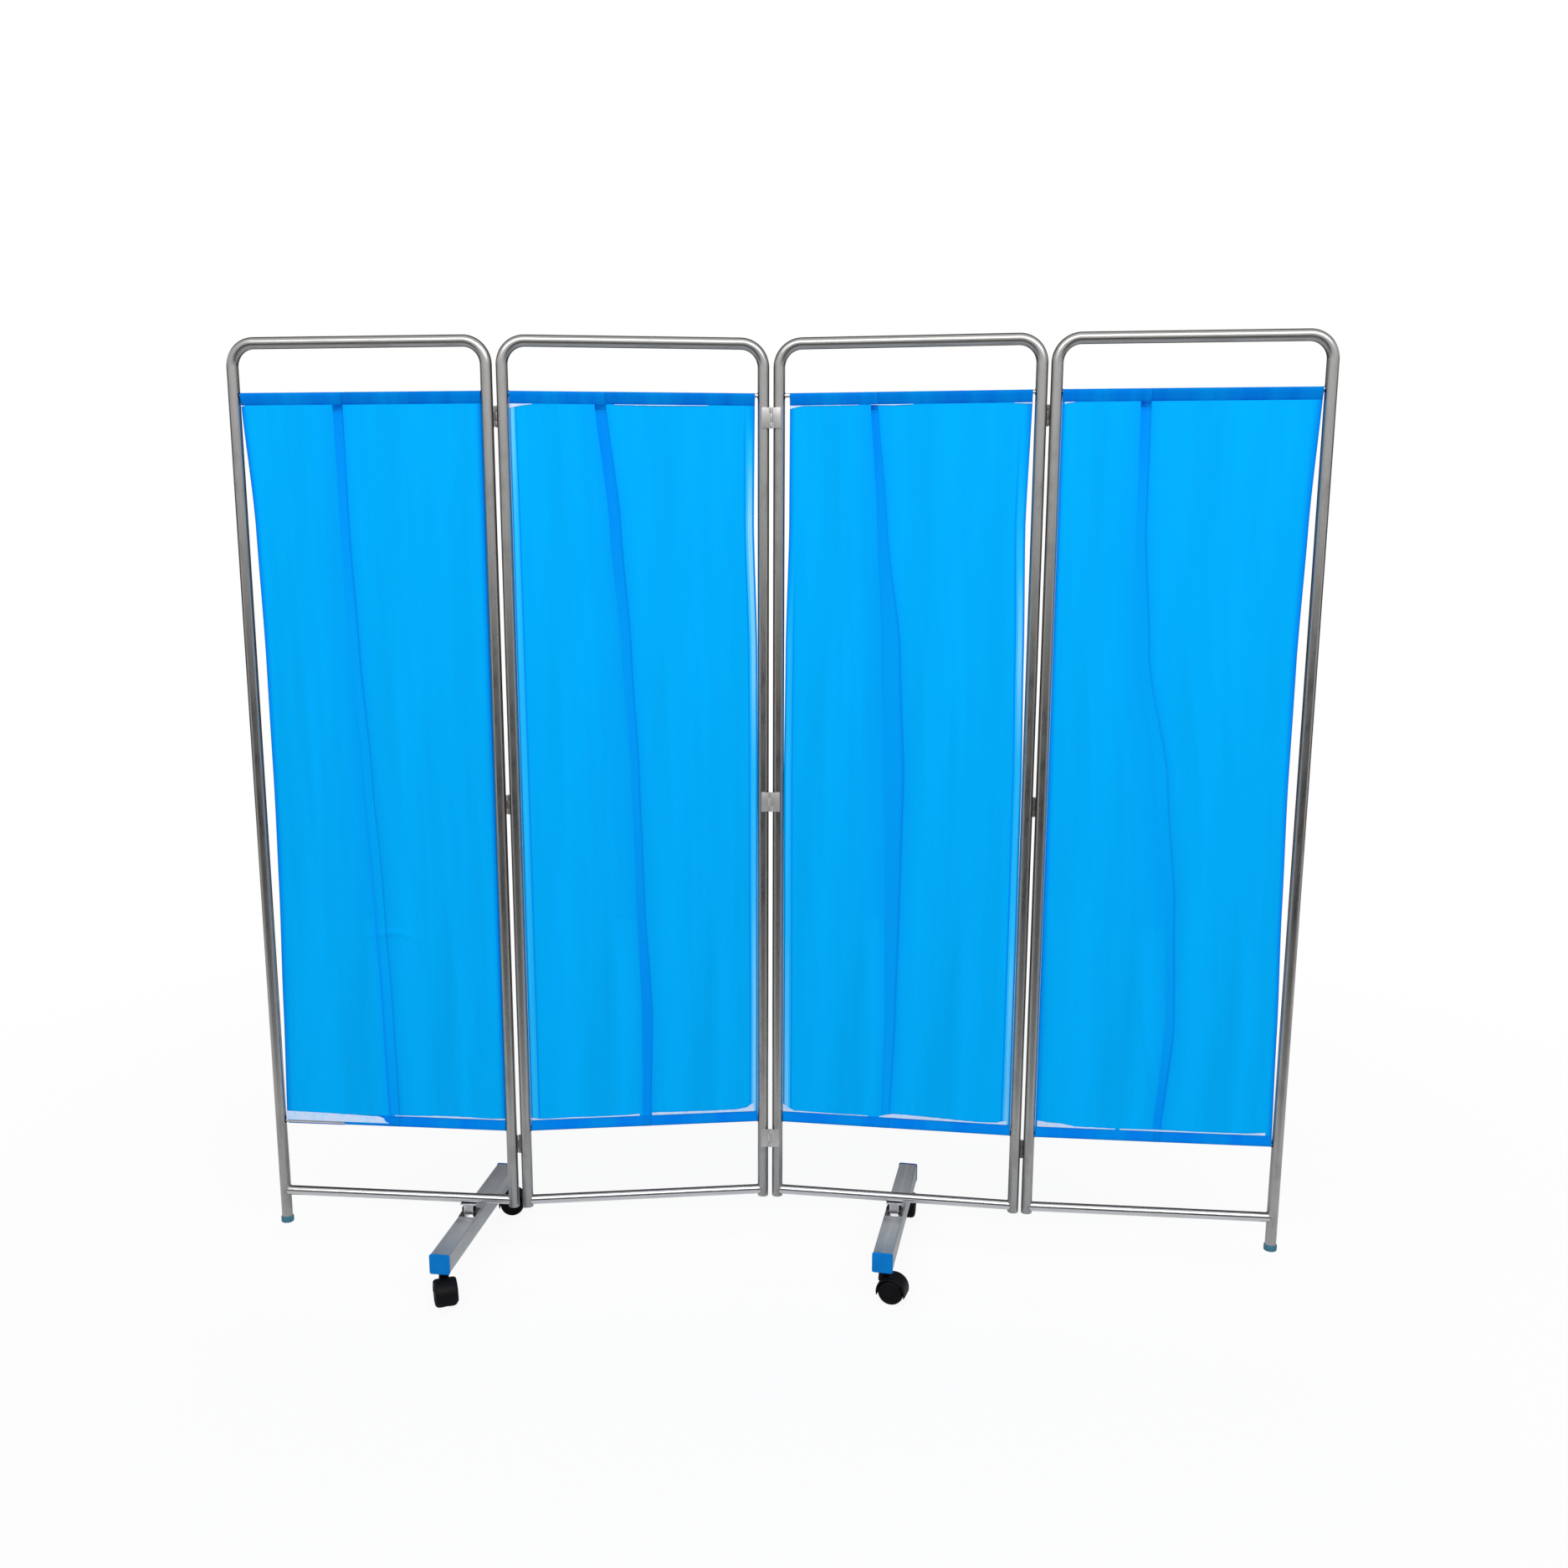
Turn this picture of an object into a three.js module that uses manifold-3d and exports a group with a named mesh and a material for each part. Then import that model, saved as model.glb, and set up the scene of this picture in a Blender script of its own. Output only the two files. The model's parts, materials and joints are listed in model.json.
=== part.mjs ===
// Ward privacy screen on wheels: four stainless tube panels hinged in a zigzag,
// each with a cloth curtain stretched between two rods, on two castored base bars.
// Millimetres, +Z up. The screen runs along +X and the user looks along +Y.
import * as THREE from "three";
import { mergeVertices } from "three/addons/utils/BufferGeometryUtils.js";
import Module from "manifold-3d";

const wasm = await Module();
wasm.setup();

// Overall sizes
const screen_height = 1800;
const panel_pitch = 500;
const panel_count = 4;
const panel_headings_deg = [-5.7, 6.3, -9.4, -6.2];

// Clearances
const seat_gap = 0.3;
const cut_overrun = 2;

// Panel hoops
const tube_diameter = 21.3;
const tube_wall = 1.2;
const leg_gap = 4.4;
const bend_radius = 42;
const inner_leg_drop = 13;
const outer_leg_drop = 55;

// Cross rails above the base bars, and curtain rods
const rail_diameter = 19;
const rail_rise = 34.5;
const rod_diameter = 7;
const top_rod_drop = 102;
const bottom_rod_rise = 150.5;
const rod_entry = 3;

// Curtains
const cloth_thickness = 1.6;
const pocket_wall = 1.3;
const pocket_depth = 18;
const rod_slack = 0.4;
const curtain_edge_gap = 0.6;
const fold_depth = 3.6;
const overlap_step = 1.7;

// Hinges
const top_hinge_drop = 142;
const bottom_hinge_rise = 114;
const middle_hinge_share = 0.49;
const hinge_height = 37;
const leaf_width = 18;
const leaf_thickness = 2;
const knuckle_diameter = 6.4;
const hinge_pin_diameter = 3;
const end_knuckle = 10;
const folded_gap = 0.5;
const pin_head_height = 1;
const knuckle_gap = 0.4;

// Rubber feet
const foot_flare = 1.85;
const foot_height = 13;
const foot_rim = 2;
const foot_plug = 16;

// Base bars and their end caps
const bar_size = 38;
const bar_wall = 1.5;
const bar_corner = 3;
const bar_length = 424;
const bar_place_shares = { 1: 0.79, 3: 0.504 };
const bar_turns_deg = { 1: -2, 3: -2.7 };
const bar_rear_shift = 33;
const cap_head = 4;
const cap_lip = 1;
const cap_edge = 1.2;
const cap_corner = 4;
const cap_plug = 10;
const cap_plug_wall = 2;

// Brackets between a cross rail and a base bar
const flange_length = 32;
const flange_width = 20;
const plate_thickness = 2.5;
const post_size = 19;
const post_wall = 2;
const saddle_length = 44;
const saddle_width = 35;
const tongue_height = 15;
const bolt_diameter = 6;
const bolt_head_diameter = 13;
const bolt_head_height = 5;
const bolt_clearance = 1.2;

// Castors
const castor_neck = 12.5;
const wheel_diameter = 50;
const wheel_width = 18;
const wheel_round = 5;
const hub_diameter = 17;
const hub_recess = 2;
const tread_width = 5.6;
const axle_diameter = 6;
const web_thickness = 4.4;
const web_reach = 19;
const hood_gap = 1.6;
const hood_wall = 2.4;
const hood_shoulder = 3.8;
const hood_overhang = 1;
const hood_droop_deg = 14;
const castor_trail = 18;
const castor_inset = 22;
const stem_diameter = 10;
const stem_rise = 24;
const boss_diameter = 18;
const collar_diameter = 13;
const collar_height = 5;
const castor_turns_deg = { "1_front": 27, "1_rear": 100, "3_front": 82, "3_rear": 0 };

// Sizes that follow
const tube_radius = tube_diameter / 2;
const rail_radius = rail_diameter / 2;
const rod_radius = rod_diameter / 2;
const leg_inset = tube_radius + leg_gap / 2;
const leg_far = panel_pitch - leg_inset;
const top_rail_height = screen_height - tube_radius;
const castor_height = wheel_diameter + hood_gap + hood_wall + castor_neck;
const bar_top = castor_height + bar_size;
const rail_height = bar_top + rail_rise;
const inner_leg_end = rail_height - inner_leg_drop;
const outer_leg_end = rail_height - outer_leg_drop;
const top_rod_height = screen_height - top_rod_drop;
const bottom_rod_height = rail_height + bottom_rod_rise;
const top_hinge_height = screen_height - top_hinge_drop;
const bottom_hinge_height = rail_height + bottom_hinge_rise;
const middle_hinge_height = THREE.MathUtils.lerp(bottom_hinge_height, top_hinge_height, middle_hinge_share);
const hinge_heights = { top: top_hinge_height, middle: middle_hinge_height, bottom: bottom_hinge_height };
const hinge_reach = tube_radius + seat_gap + leaf_thickness + folded_gap / 2;

// How finely round things are faceted
const tube_side_count = 14;
const bore_side_count = 8;
const bend_steps = 5;
const rail_side_count = 14;
const rod_side_count = 10;
const barrel_side_count = 10;
const pin_side_count = 6;
const bolt_side_count = 6;
const wheel_side_count = 16;
const hood_side_count = 16;
const corner_steps = 2;
const edge_steps = 2;
const bevel_steps = 1;

function finish(color, roughness, metalness) {
  return new THREE.MeshStandardMaterial({ color, roughness, metalness });
}

const satin_steel = finish(0xa7a39c, 0.32, 1);
const bright_steel = finish(0xc4c6c8, 0.14, 1);
const brushed_steel = finish(0x93979c, 0.38, 1);
const azure_cloth = finish(0x009cf2, 0.75, 0);
const blue_plastic = finish(0x0077d2, 0.42, 0);
const black_plastic = finish(0x141414, 0.5, 0);
const black_steel = finish(0x222222, 0.45, 1);
const teal_rubber = finish(0x47707f, 0.7, 0);

const radians = THREE.MathUtils.degToRad;

// Solids

function solid(geometry) {
  const bare = geometry.clone();
  bare.deleteAttribute("normal");
  bare.deleteAttribute("uv");
  const merged = mergeVertices(bare);
  const vertProperties = new Float32Array(merged.attributes.position.array);
  const triVerts = new Uint32Array(merged.index.array);
  return new wasm.Manifold(new wasm.Mesh({ numProp: 3, vertProperties, triVerts }));
}

function geometryOf(manifold) {
  const mesh = manifold.getMesh();
  const geometry = new THREE.BufferGeometry();
  geometry.setAttribute("position", new THREE.BufferAttribute(new Float32Array(mesh.vertProperties), 3));
  geometry.setIndex(new THREE.BufferAttribute(new Uint32Array(mesh.triVerts), 1));
  geometry.computeVertexNormals();
  return geometry;
}

function add(parent, name, geometry, material) {
  const mesh = new THREE.Mesh(geometry, material);
  mesh.name = name;
  parent.add(mesh);
  return mesh;
}

function box(x0, x1, y0, y1, z0, z1) {
  const block = new THREE.BoxGeometry(x1 - x0, y1 - y0, z1 - z0);
  return block.translate((x0 + x1) / 2, (y0 + y1) / 2, (z0 + z1) / 2);
}

// A round bar between two heights, upright at (x, y)
function uprightBar(radius, z0, z1, sides, x = 0, y = 0) {
  const bar = new THREE.CylinderGeometry(radius, radius, z1 - z0, sides);
  return bar.rotateX(Math.PI / 2).translate(x, y, (z0 + z1) / 2);
}

// A round bar along X between x0 and x1
function crossBar(radius, x0, x1, sides, y, z) {
  const bar = new THREE.CylinderGeometry(radius, radius, x1 - x0, sides);
  return bar.rotateZ(Math.PI / 2).translate((x0 + x1) / 2, y, z);
}

function roundedSquare(size, corner) {
  const half = size / 2;
  const flat = half - corner;
  const shape = new THREE.Shape();
  shape.absarc(flat, flat, corner, 0, Math.PI / 2, false);
  shape.absarc(-flat, flat, corner, Math.PI / 2, Math.PI, false);
  shape.absarc(-flat, -flat, corner, Math.PI, Math.PI * 3 / 2, false);
  shape.absarc(flat, -flat, corner, Math.PI * 3 / 2, Math.PI * 2, false);
  shape.closePath();
  return shape;
}

// A prism of a section drawn in X and Z, standing from y0 to y1
function prismAlongY(shape, y0, y1, steps = corner_steps) {
  const options = { depth: y1 - y0, bevelEnabled: false, curveSegments: steps };
  const prism = new THREE.ExtrudeGeometry(shape, options);
  return prism.rotateX(Math.PI / 2).translate(0, y1, 0);
}

// Panel hoops

// The centreline of a hoop: up the left leg, over two bends and down the right leg.
class HoopLine extends THREE.Curve {
  constructor(left_end, right_end) {
    super();
    const left_centre = new THREE.Vector2(leg_inset + bend_radius, top_rail_height - bend_radius);
    const right_centre = new THREE.Vector2(leg_far - bend_radius, top_rail_height - bend_radius);
    this.stations = [[leg_inset, left_end, 0]];
    for (let step = 0; step <= bend_steps; step += 1) {
      const turn = (step / bend_steps) * Math.PI / 2;
      const x = left_centre.x - bend_radius * Math.cos(turn);
      this.stations.push([x, left_centre.y + bend_radius * Math.sin(turn), turn]);
    }
    for (let step = 0; step <= bend_steps; step += 1) {
      const turn = (step / bend_steps) * Math.PI / 2;
      const x = right_centre.x + bend_radius * Math.sin(turn);
      this.stations.push([x, right_centre.y + bend_radius * Math.cos(turn), turn + Math.PI / 2]);
    }
    this.stations.push([leg_far, right_end, Math.PI]);
    this.steps = this.stations.length - 1;
  }

  station(share) {
    return this.stations[Math.round(share * this.steps)];
  }

  getPointAt(share, target = new THREE.Vector3()) {
    const [x, z] = this.station(share);
    return target.set(x, 0, z);
  }

  getPoint(share, target) {
    return this.getPointAt(share, target);
  }

  getTangentAt(share, target = new THREE.Vector3()) {
    const turn = this.station(share)[2];
    return target.set(Math.sin(turn), 0, Math.cos(turn));
  }
}

function ring(radius, sides) {
  const points = [];
  for (let side = 0; side < sides; side += 1) {
    const turn = ((side + 0.5) / sides) * Math.PI * 2;
    points.push(new THREE.Vector2(radius * Math.cos(turn), radius * Math.sin(turn)));
  }
  return points;
}

function hoop(left_end, right_end) {
  const line = new HoopLine(left_end, right_end);
  const section = new THREE.Shape(ring(tube_radius, tube_side_count));
  section.holes.push(new THREE.Path(ring(tube_radius - tube_wall, bore_side_count).reverse()));
  const options = { steps: line.steps, extrudePath: line, bevelEnabled: false };
  let tube = solid(new THREE.ExtrudeGeometry(section, options));
  const hole_radius = rod_radius + seat_gap;
  const inner_sides = [
    [leg_inset, leg_inset + tube_diameter],
    [leg_far - tube_diameter, leg_far],
  ];
  for (const height of [top_rod_height, bottom_rod_height]) {
    for (const [from, to] of inner_sides) {
      tube = tube.subtract(solid(crossBar(hole_radius, from, to, rod_side_count, 0, height)));
    }
  }
  return geometryOf(tube);
}

// The cross rail, coped at both ends to fit round the legs
function crossRail() {
  const rail = solid(crossBar(rail_radius, leg_inset, leg_far, rail_side_count, 0, rail_height));
  const cope_radius = tube_radius + seat_gap;
  const low = rail_height - rail_diameter;
  const high = rail_height + rail_diameter;
  const left_cope = solid(uprightBar(cope_radius, low, high, tube_side_count, leg_inset));
  const right_cope = solid(uprightBar(cope_radius, low, high, tube_side_count, leg_far));
  return geometryOf(rail.subtract(left_cope).subtract(right_cope));
}

// A curtain rod, its ends let into the inner walls of both legs
function curtainRod(height) {
  const reach = tube_radius - tube_wall - rod_entry;
  return crossBar(rod_radius, leg_inset + reach, leg_far - reach, rod_side_count, 0, height);
}

// Curtains

// How each curtain hangs, as shares of the clear width between the legs. The rows of
// edges and of the overlap go from the foot of the curtain to its head.
const curtain_shares = {
  1: {
    left: [0.004, 0.018, 0.03, 0.036, 0.038, 0.03, 0.001],
    right: [0.999, 0.997, 0.995, 0.992, 0.99, 0.993, 0.999],
    overlap: [0.46, 0.452, 0.44, 0.42, 0.4, 0.385, 0.37],
    overlap_width: 0.05,
    bare_rod: 0.265,
    phase: 0.1,
  },
  2: {
    left: [0.001, 0.006, 0.012, 0.018, 0.02, 0.014, 0.001],
    right: [0.999, 0.985, 0.976, 0.975, 0.98, 0.99, 0.999],
    overlap: [0.48, 0.472, 0.455, 0.425, 0.39, 0.355, 0.337],
    overlap_width: 0.044,
    bare_rod: 0,
    phase: 0.45,
  },
  3: {
    left: [0.001, 0.018, 0.022, 0.026, 0.026, 0.022, 0.018],
    right: [0.992, 0.982, 0.98, 0.98, 0.985, 0.992, 0.999],
    overlap: [0.437, 0.437, 0.437, 0.435, 0.41, 0.375, 0.359],
    overlap_width: 0.06,
    bare_rod: 0,
    phase: 0.7,
  },
  4: {
    left: [0.001, 0.004, 0.01, 0.015, 0.016, 0.01, 0.005],
    right: [0.999, 0.99, 0.975, 0.966, 0.967, 0.98, 0.998],
    overlap: [0.49, 0.44, 0.37, 0.3, 0.29, 0.295, 0.304],
    overlap_width: 0.055,
    bare_rod: 0,
    phase: 0.25,
  },
};
const row_shares = [0.06, 0.25, 0.5, 0.75, 0.94];
const fold_waves = 5;
const broad_fold_waves = 2;
const broad_fold_share = 0.6;
const fold_fullness = 0.7;
const side_columns = { left: 10, overlap: 3, right: 13 };

const clear_left = leg_inset + tube_radius + curtain_edge_gap;
const clear_right = leg_far - tube_radius - curtain_edge_gap;
const pocket_half = rod_radius + rod_slack + pocket_wall;
const curtain_foot = bottom_rod_height - pocket_half;
const curtain_head = top_rod_height + pocket_half;

// The rows of a curtain, each with its height and its half thickness
function curtainRows() {
  const half_cloth = cloth_thickness / 2;
  const shoulder = pocket_half * Math.SQRT1_2;
  const bottom_seam = bottom_rod_height + pocket_depth;
  const top_seam = top_rod_height - pocket_depth;
  const rows = [
    [curtain_foot, half_cloth],
    [bottom_rod_height - shoulder, shoulder],
    [bottom_rod_height, pocket_half],
    [bottom_rod_height + shoulder, shoulder],
    [bottom_seam, half_cloth],
  ];
  for (const share of row_shares) {
    rows.push([THREE.MathUtils.lerp(bottom_seam, top_seam, share), half_cloth]);
  }
  rows.push([top_seam, half_cloth]);
  rows.push([top_rod_height - shoulder, shoulder]);
  rows.push([top_rod_height, pocket_half]);
  rows.push([top_rod_height + shoulder, shoulder]);
  rows.push([curtain_head, half_cloth]);
  return rows;
}

// A value read from a row of shares at a share of the height, straight between its points
function along(shares, share) {
  const place = share * (shares.length - 1);
  const low = Math.min(Math.floor(place), shares.length - 2);
  return THREE.MathUtils.lerp(shares[low], shares[low + 1], place - low);
}

function columnShares(left, start, width, right) {
  const shares = [];
  for (let column = 0; column < side_columns.left; column += 1) {
    shares.push(THREE.MathUtils.lerp(left, start, column / side_columns.left));
  }
  for (let column = 0; column < side_columns.overlap; column += 1) {
    shares.push(start + width * column / side_columns.overlap);
  }
  for (let column = 0; column <= side_columns.right; column += 1) {
    shares.push(THREE.MathUtils.lerp(start + width, right, column / side_columns.right));
  }
  return shares;
}

// Soft upright folds, deepest at mid height and flat at the two pockets
function foldOffset(shares, across, up) {
  const fullness = Math.sin(Math.PI * up) ** fold_fullness;
  const narrow = Math.sin((across * fold_waves + shares.phase) * Math.PI * 2);
  const broad = Math.sin((across * broad_fold_waves - shares.phase + up / 2) * Math.PI * 2);
  return fold_depth * fullness * (narrow * (1 - broad_fold_share) + broad * broad_fold_share);
}

function curtainSheet(shares) {
  const rows = curtainRows();
  const columns = side_columns.left + side_columns.overlap + side_columns.right + 1;
  const positions = [];
  const first_lapped = side_columns.left;
  const last_lapped = side_columns.left + side_columns.overlap;
  for (const facing of [-1, 1]) {
    for (const [height, half] of rows) {
      const up = (height - curtain_foot) / (curtain_head - curtain_foot);
      const left = along(shares.left, up);
      const right = along(shares.right, up);
      const places = columnShares(left, along(shares.overlap, up), shares.overlap_width, right);
      places.forEach((place, column) => {
        const in_lap = column > first_lapped && column < last_lapped;
        const bulge = facing < 0 && in_lap && half < pocket_half / 2 ? overlap_step : 0;
        const x = THREE.MathUtils.lerp(clear_left, clear_right, place);
        positions.push(x, foldOffset(shares, place, up) + facing * (half + bulge), height);
      });
    }
  }
  return { positions, rows: rows.length, columns };
}

// One closed skin: the front, the back and the four edges of the grid
function sheetGeometry({ positions, rows, columns }) {
  const front = (row, column) => row * columns + column;
  const back = (row, column) => (rows + row) * columns + column;
  const faces = [];
  const quad = (a, b, c, d) => faces.push(a, b, c, a, c, d);
  for (let row = 0; row < rows - 1; row += 1) {
    for (let column = 0; column < columns - 1; column += 1) {
      quad(front(row, column), front(row, column + 1), front(row + 1, column + 1), front(row + 1, column));
      quad(back(row, column + 1), back(row, column), back(row + 1, column), back(row + 1, column + 1));
    }
    quad(back(row, 0), front(row, 0), front(row + 1, 0), back(row + 1, 0));
    const last = columns - 1;
    quad(front(row, last), back(row, last), back(row + 1, last), front(row + 1, last));
  }
  for (let column = 0; column < columns - 1; column += 1) {
    quad(back(0, column), back(0, column + 1), front(0, column + 1), front(0, column));
    const head = rows - 1;
    quad(front(head, column), front(head, column + 1), back(head, column + 1), back(head, column));
  }
  const geometry = new THREE.BufferGeometry();
  geometry.setAttribute("position", new THREE.Float32BufferAttribute(positions, 3));
  geometry.setIndex(faces);
  return geometry;
}

function curtain(shares) {
  let cloth = solid(sheetGeometry(curtainSheet(shares)));
  const bore_radius = rod_radius + rod_slack;
  for (const height of [top_rod_height, bottom_rod_height]) {
    cloth = cloth.subtract(solid(crossBar(bore_radius, leg_inset, leg_far, rod_side_count, 0, height)));
  }
  if (shares.bare_rod > 0) {
    const bare_end = THREE.MathUtils.lerp(clear_left, clear_right, shares.bare_rod);
    const clear_top = bottom_rod_height + bore_radius + seat_gap;
    const low = curtain_foot - cut_overrun;
    const notch = box(leg_inset, bare_end, -tube_radius, tube_radius, low, clear_top);
    cloth = cloth.subtract(solid(notch));
  }
  return geometryOf(cloth);
}

// Hinges

// One leaf with its knuckles round the origin, its plate on the -X side and against
// tubes that lie at +Y. The leaf that has the end knuckles holds the pin.
function hingeLeaf(holds_pin) {
  const half = hinge_height / 2;
  const middle = half - end_knuckle;
  const knuckle_radius = knuckle_diameter / 2;
  const inner = middle - knuckle_gap;
  const spans = holds_pin ? [[-half, -middle], [middle, half]] : [[-inner, inner]];
  const open_spans = holds_pin ? [[-middle, middle]] : [[-half, -inner], [inner, half]];
  const plate_front = folded_gap / 2;
  let leaf = solid(box(-leaf_width, 0, plate_front, plate_front + leaf_thickness, -half, half));
  for (const [low, high] of open_spans) {
    const room = knuckle_radius + knuckle_gap;
    const over_low = low === -half ? low - cut_overrun : low;
    const over_high = high === half ? high + cut_overrun : high;
    leaf = leaf.subtract(solid(box(-room, room, -room, room, over_low, over_high)));
  }
  for (const [low, high] of spans) {
    leaf = leaf.add(solid(uprightBar(knuckle_radius, low, high, barrel_side_count)));
  }
  if (holds_pin) {
    const pin_end = half + pin_head_height;
    const pin = uprightBar(hinge_pin_diameter / 2, -pin_end, pin_end, pin_side_count);
    return geometryOf(leaf.add(solid(pin)));
  }
  const bore_radius = hinge_pin_diameter / 2 + seat_gap;
  return geometryOf(leaf.subtract(solid(uprightBar(bore_radius, -half, half, pin_side_count))));
}

// Rubber foot: a flared pad with a plug that goes up into the leg
function rubberFoot() {
  const radius = tube_radius + foot_flare;
  const plug_radius = (tube_radius - tube_wall) * Math.cos(Math.PI / bore_side_count) - seat_gap;
  const top = outer_leg_end - seat_gap;
  const bottom = outer_leg_end - foot_height;
  const profile = [
    [0, bottom],
    [radius - foot_rim, bottom],
    [radius, bottom + foot_rim],
    [radius, top - foot_rim * 2],
    [radius - foot_rim, top],
    [plug_radius, top],
    [plug_radius, top + foot_plug],
    [0, top + foot_plug],
  ];
  const points = profile.map(([across, up]) => new THREE.Vector2(across, up));
  return new THREE.LatheGeometry(points, tube_side_count).rotateX(Math.PI / 2);
}

// Base bars, drawn with the bar along Y and its middle at the origin of X and Y

function baseBar() {
  const section = roundedSquare(bar_size, bar_corner);
  section.holes.push(roundedSquare(bar_size - 2 * bar_wall, bar_corner - bar_wall));
  const middle = castor_height + bar_size / 2;
  const bar = solid(prismAlongY(section, -bar_length / 2, bar_length / 2).translate(0, 0, middle));
  let drilled = bar;
  for (const end of [-1, 1]) {
    const place = end * (capFace() - castor_inset);
    const low = castor_height - cut_overrun;
    const high = castor_height + bar_wall + cut_overrun;
    const hole_radius = stem_diameter / 2 + seat_gap;
    const hole = uprightBar(hole_radius, low, high, barrel_side_count, 0, place);
    drilled = drilled.subtract(solid(hole));
  }
  return geometryOf(drilled);
}

// Where the outer face of an end cap lies, from the middle of the bar
function capFace() {
  return bar_length / 2 + seat_gap + cap_head;
}

// A head with a bevelled rim over the end of the bar, and a hollow plug inside it
function endCap(end) {
  const middle = castor_height + bar_size / 2;
  const head_size = bar_size + 2 * cap_lip;
  const head_back = capFace() - cap_head;
  const flat_size = head_size - 2 * cap_edge;
  const flat = roundedSquare(flat_size, cap_corner - cap_edge);
  const bevel = {
    depth: cap_head - cap_edge,
    bevelSize: cap_edge,
    bevelThickness: cap_edge,
    bevelSegments: bevel_steps,
    curveSegments: corner_steps,
  };
  const rim = new THREE.ExtrudeGeometry(flat, bevel).translate(0, 0, -bevel.depth);
  const head = solid(rim.rotateX(-Math.PI / 2).translate(0, capFace() - cap_edge, 0));
  const back = solid(box(-head_size, head_size, 0, head_back, -head_size, head_size));
  const plug_size = bar_size - 2 * (bar_wall + seat_gap);
  const plug_corner = bar_corner - bar_wall;
  const plug_end = head_back - cap_plug;
  const plug = solid(prismAlongY(roundedSquare(plug_size, plug_corner), plug_end, head_back + cap_edge));
  const half_room = plug_size / 2 - cap_plug_wall;
  const room = solid(box(-half_room, half_room, plug_end - cut_overrun, head_back, -half_room, half_room));
  const cap = geometryOf(head.subtract(back).add(plug).subtract(room)).translate(0, 0, middle);
  return end < 0 ? cap.rotateZ(Math.PI) : cap;
}

// The flange and square post that hang under a cross rail
function railBracket() {
  const flange_top = rail_height - rail_radius - seat_gap;
  const flange_low = flange_top - plate_thickness;
  const post_low = bar_top + 2 * seat_gap + plate_thickness;
  const half_flange = flange_length / 2;
  const half_width = flange_width / 2;
  const flange = box(-half_flange, half_flange, -half_width, half_width, flange_low, flange_top);
  const half_post = post_size / 2;
  const post = box(-half_post, half_post, -half_post, half_post, post_low, flange_top);
  const half_bore = half_post - post_wall;
  const bore = box(-half_bore, half_bore, -half_bore, half_bore, post_low - cut_overrun, flange_low);
  const hole = boltHole(half_post + cut_overrun);
  return geometryOf(solid(flange).add(solid(post)).subtract(solid(bore)).subtract(solid(hole)));
}

function boltHeight() {
  return bar_top + seat_gap + plate_thickness + bolt_head_diameter / 2 + bolt_clearance;
}

function boltHole(reach) {
  return crossBar(bolt_diameter / 2 + seat_gap, -reach, reach, pin_side_count, 0, boltHeight());
}

// The plate on top of a base bar, with the tongue that goes up into the post
function saddle() {
  const low = bar_top + seat_gap;
  const top = low + plate_thickness;
  const plate = box(-saddle_width / 2, saddle_width / 2, -saddle_length / 2, saddle_length / 2, low, top);
  const half_tongue = post_size / 2 - post_wall - seat_gap;
  const tongue = box(-half_tongue, half_tongue, -half_tongue, half_tongue, low, top + tongue_height);
  return geometryOf(solid(plate).add(solid(tongue)).subtract(solid(boltHole(post_size))));
}

function bracketBolt() {
  const grip = post_size / 2 + seat_gap;
  const end = grip + bolt_head_height;
  const height = boltHeight();
  const shank = crossBar(bolt_diameter / 2, -end, end, pin_side_count, 0, height);
  const head = crossBar(bolt_head_diameter / 2, -end, -grip, bolt_side_count, 0, height);
  const nut = crossBar(bolt_head_diameter / 2, grip, end, bolt_side_count, 0, height);
  return geometryOf(solid(shank).add(solid(head)).add(solid(nut)));
}

// Castors, drawn with the stem on the Z axis and the wheels trailing towards -Y

const wheel_radius = wheel_diameter / 2;
const wheel_inner = web_thickness / 2 + hood_overhang;
const wheel_outer = wheel_inner + wheel_width;

// Points of a quarter round edge, from its flat side face to its rim
function roundedEdge(radius, side, edge) {
  const points = [];
  for (let step = 0; step <= edge_steps; step += 1) {
    const turn = (step / edge_steps) * Math.PI / 2;
    points.push([radius - edge + edge * Math.sin(turn), side - edge + edge * Math.cos(turn)]);
  }
  return points;
}

// A solid turned about X from half a profile of [radius, distance from the middle] points
function turnedAboutX(half_profile, sides) {
  const mirrored = half_profile.map(([across, out]) => [across, -out]).reverse();
  const profile = half_profile.concat(mirrored).reverse();
  const points = profile.map(([across, out]) => new THREE.Vector2(across, out));
  return new THREE.LatheGeometry(points, sides).rotateZ(-Math.PI / 2);
}

// The hood: a barrel-shaped shell that is open below, where both wheels reach the floor
function castorHood(outer, inner, half_width) {
  const barrel = [[0, half_width], ...roundedEdge(outer, half_width, hood_shoulder)];
  const shell = solid(turnedAboutX(barrel, hood_side_count));
  const end = half_width + cut_overrun;
  const room = solid(crossBar(inner, -end, end, hood_side_count, 0, 0));
  const droop = radians(hood_droop_deg);
  const reach = outer * 2;
  const below = new THREE.Shape();
  below.moveTo(0, 0);
  below.lineTo(-reach * Math.cos(droop), -reach * Math.sin(droop));
  below.lineTo(-reach, -reach);
  below.lineTo(reach, -reach);
  below.lineTo(reach * Math.cos(droop), -reach * Math.sin(droop));
  below.closePath();
  return shell.subtract(room).subtract(solid(prismAlongX(below, -end, end, edge_steps)));
}

// Turns a section drawn in X and Y into a prism whose section lies in Y and Z
function prismAlongX(shape, x0, x1, steps) {
  const options = { depth: x1 - x0, bevelEnabled: false, curveSegments: steps };
  const prism = new THREE.ExtrudeGeometry(shape, options);
  return prism.rotateX(Math.PI / 2).rotateZ(Math.PI / 2).translate(x0, 0, 0);
}

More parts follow.
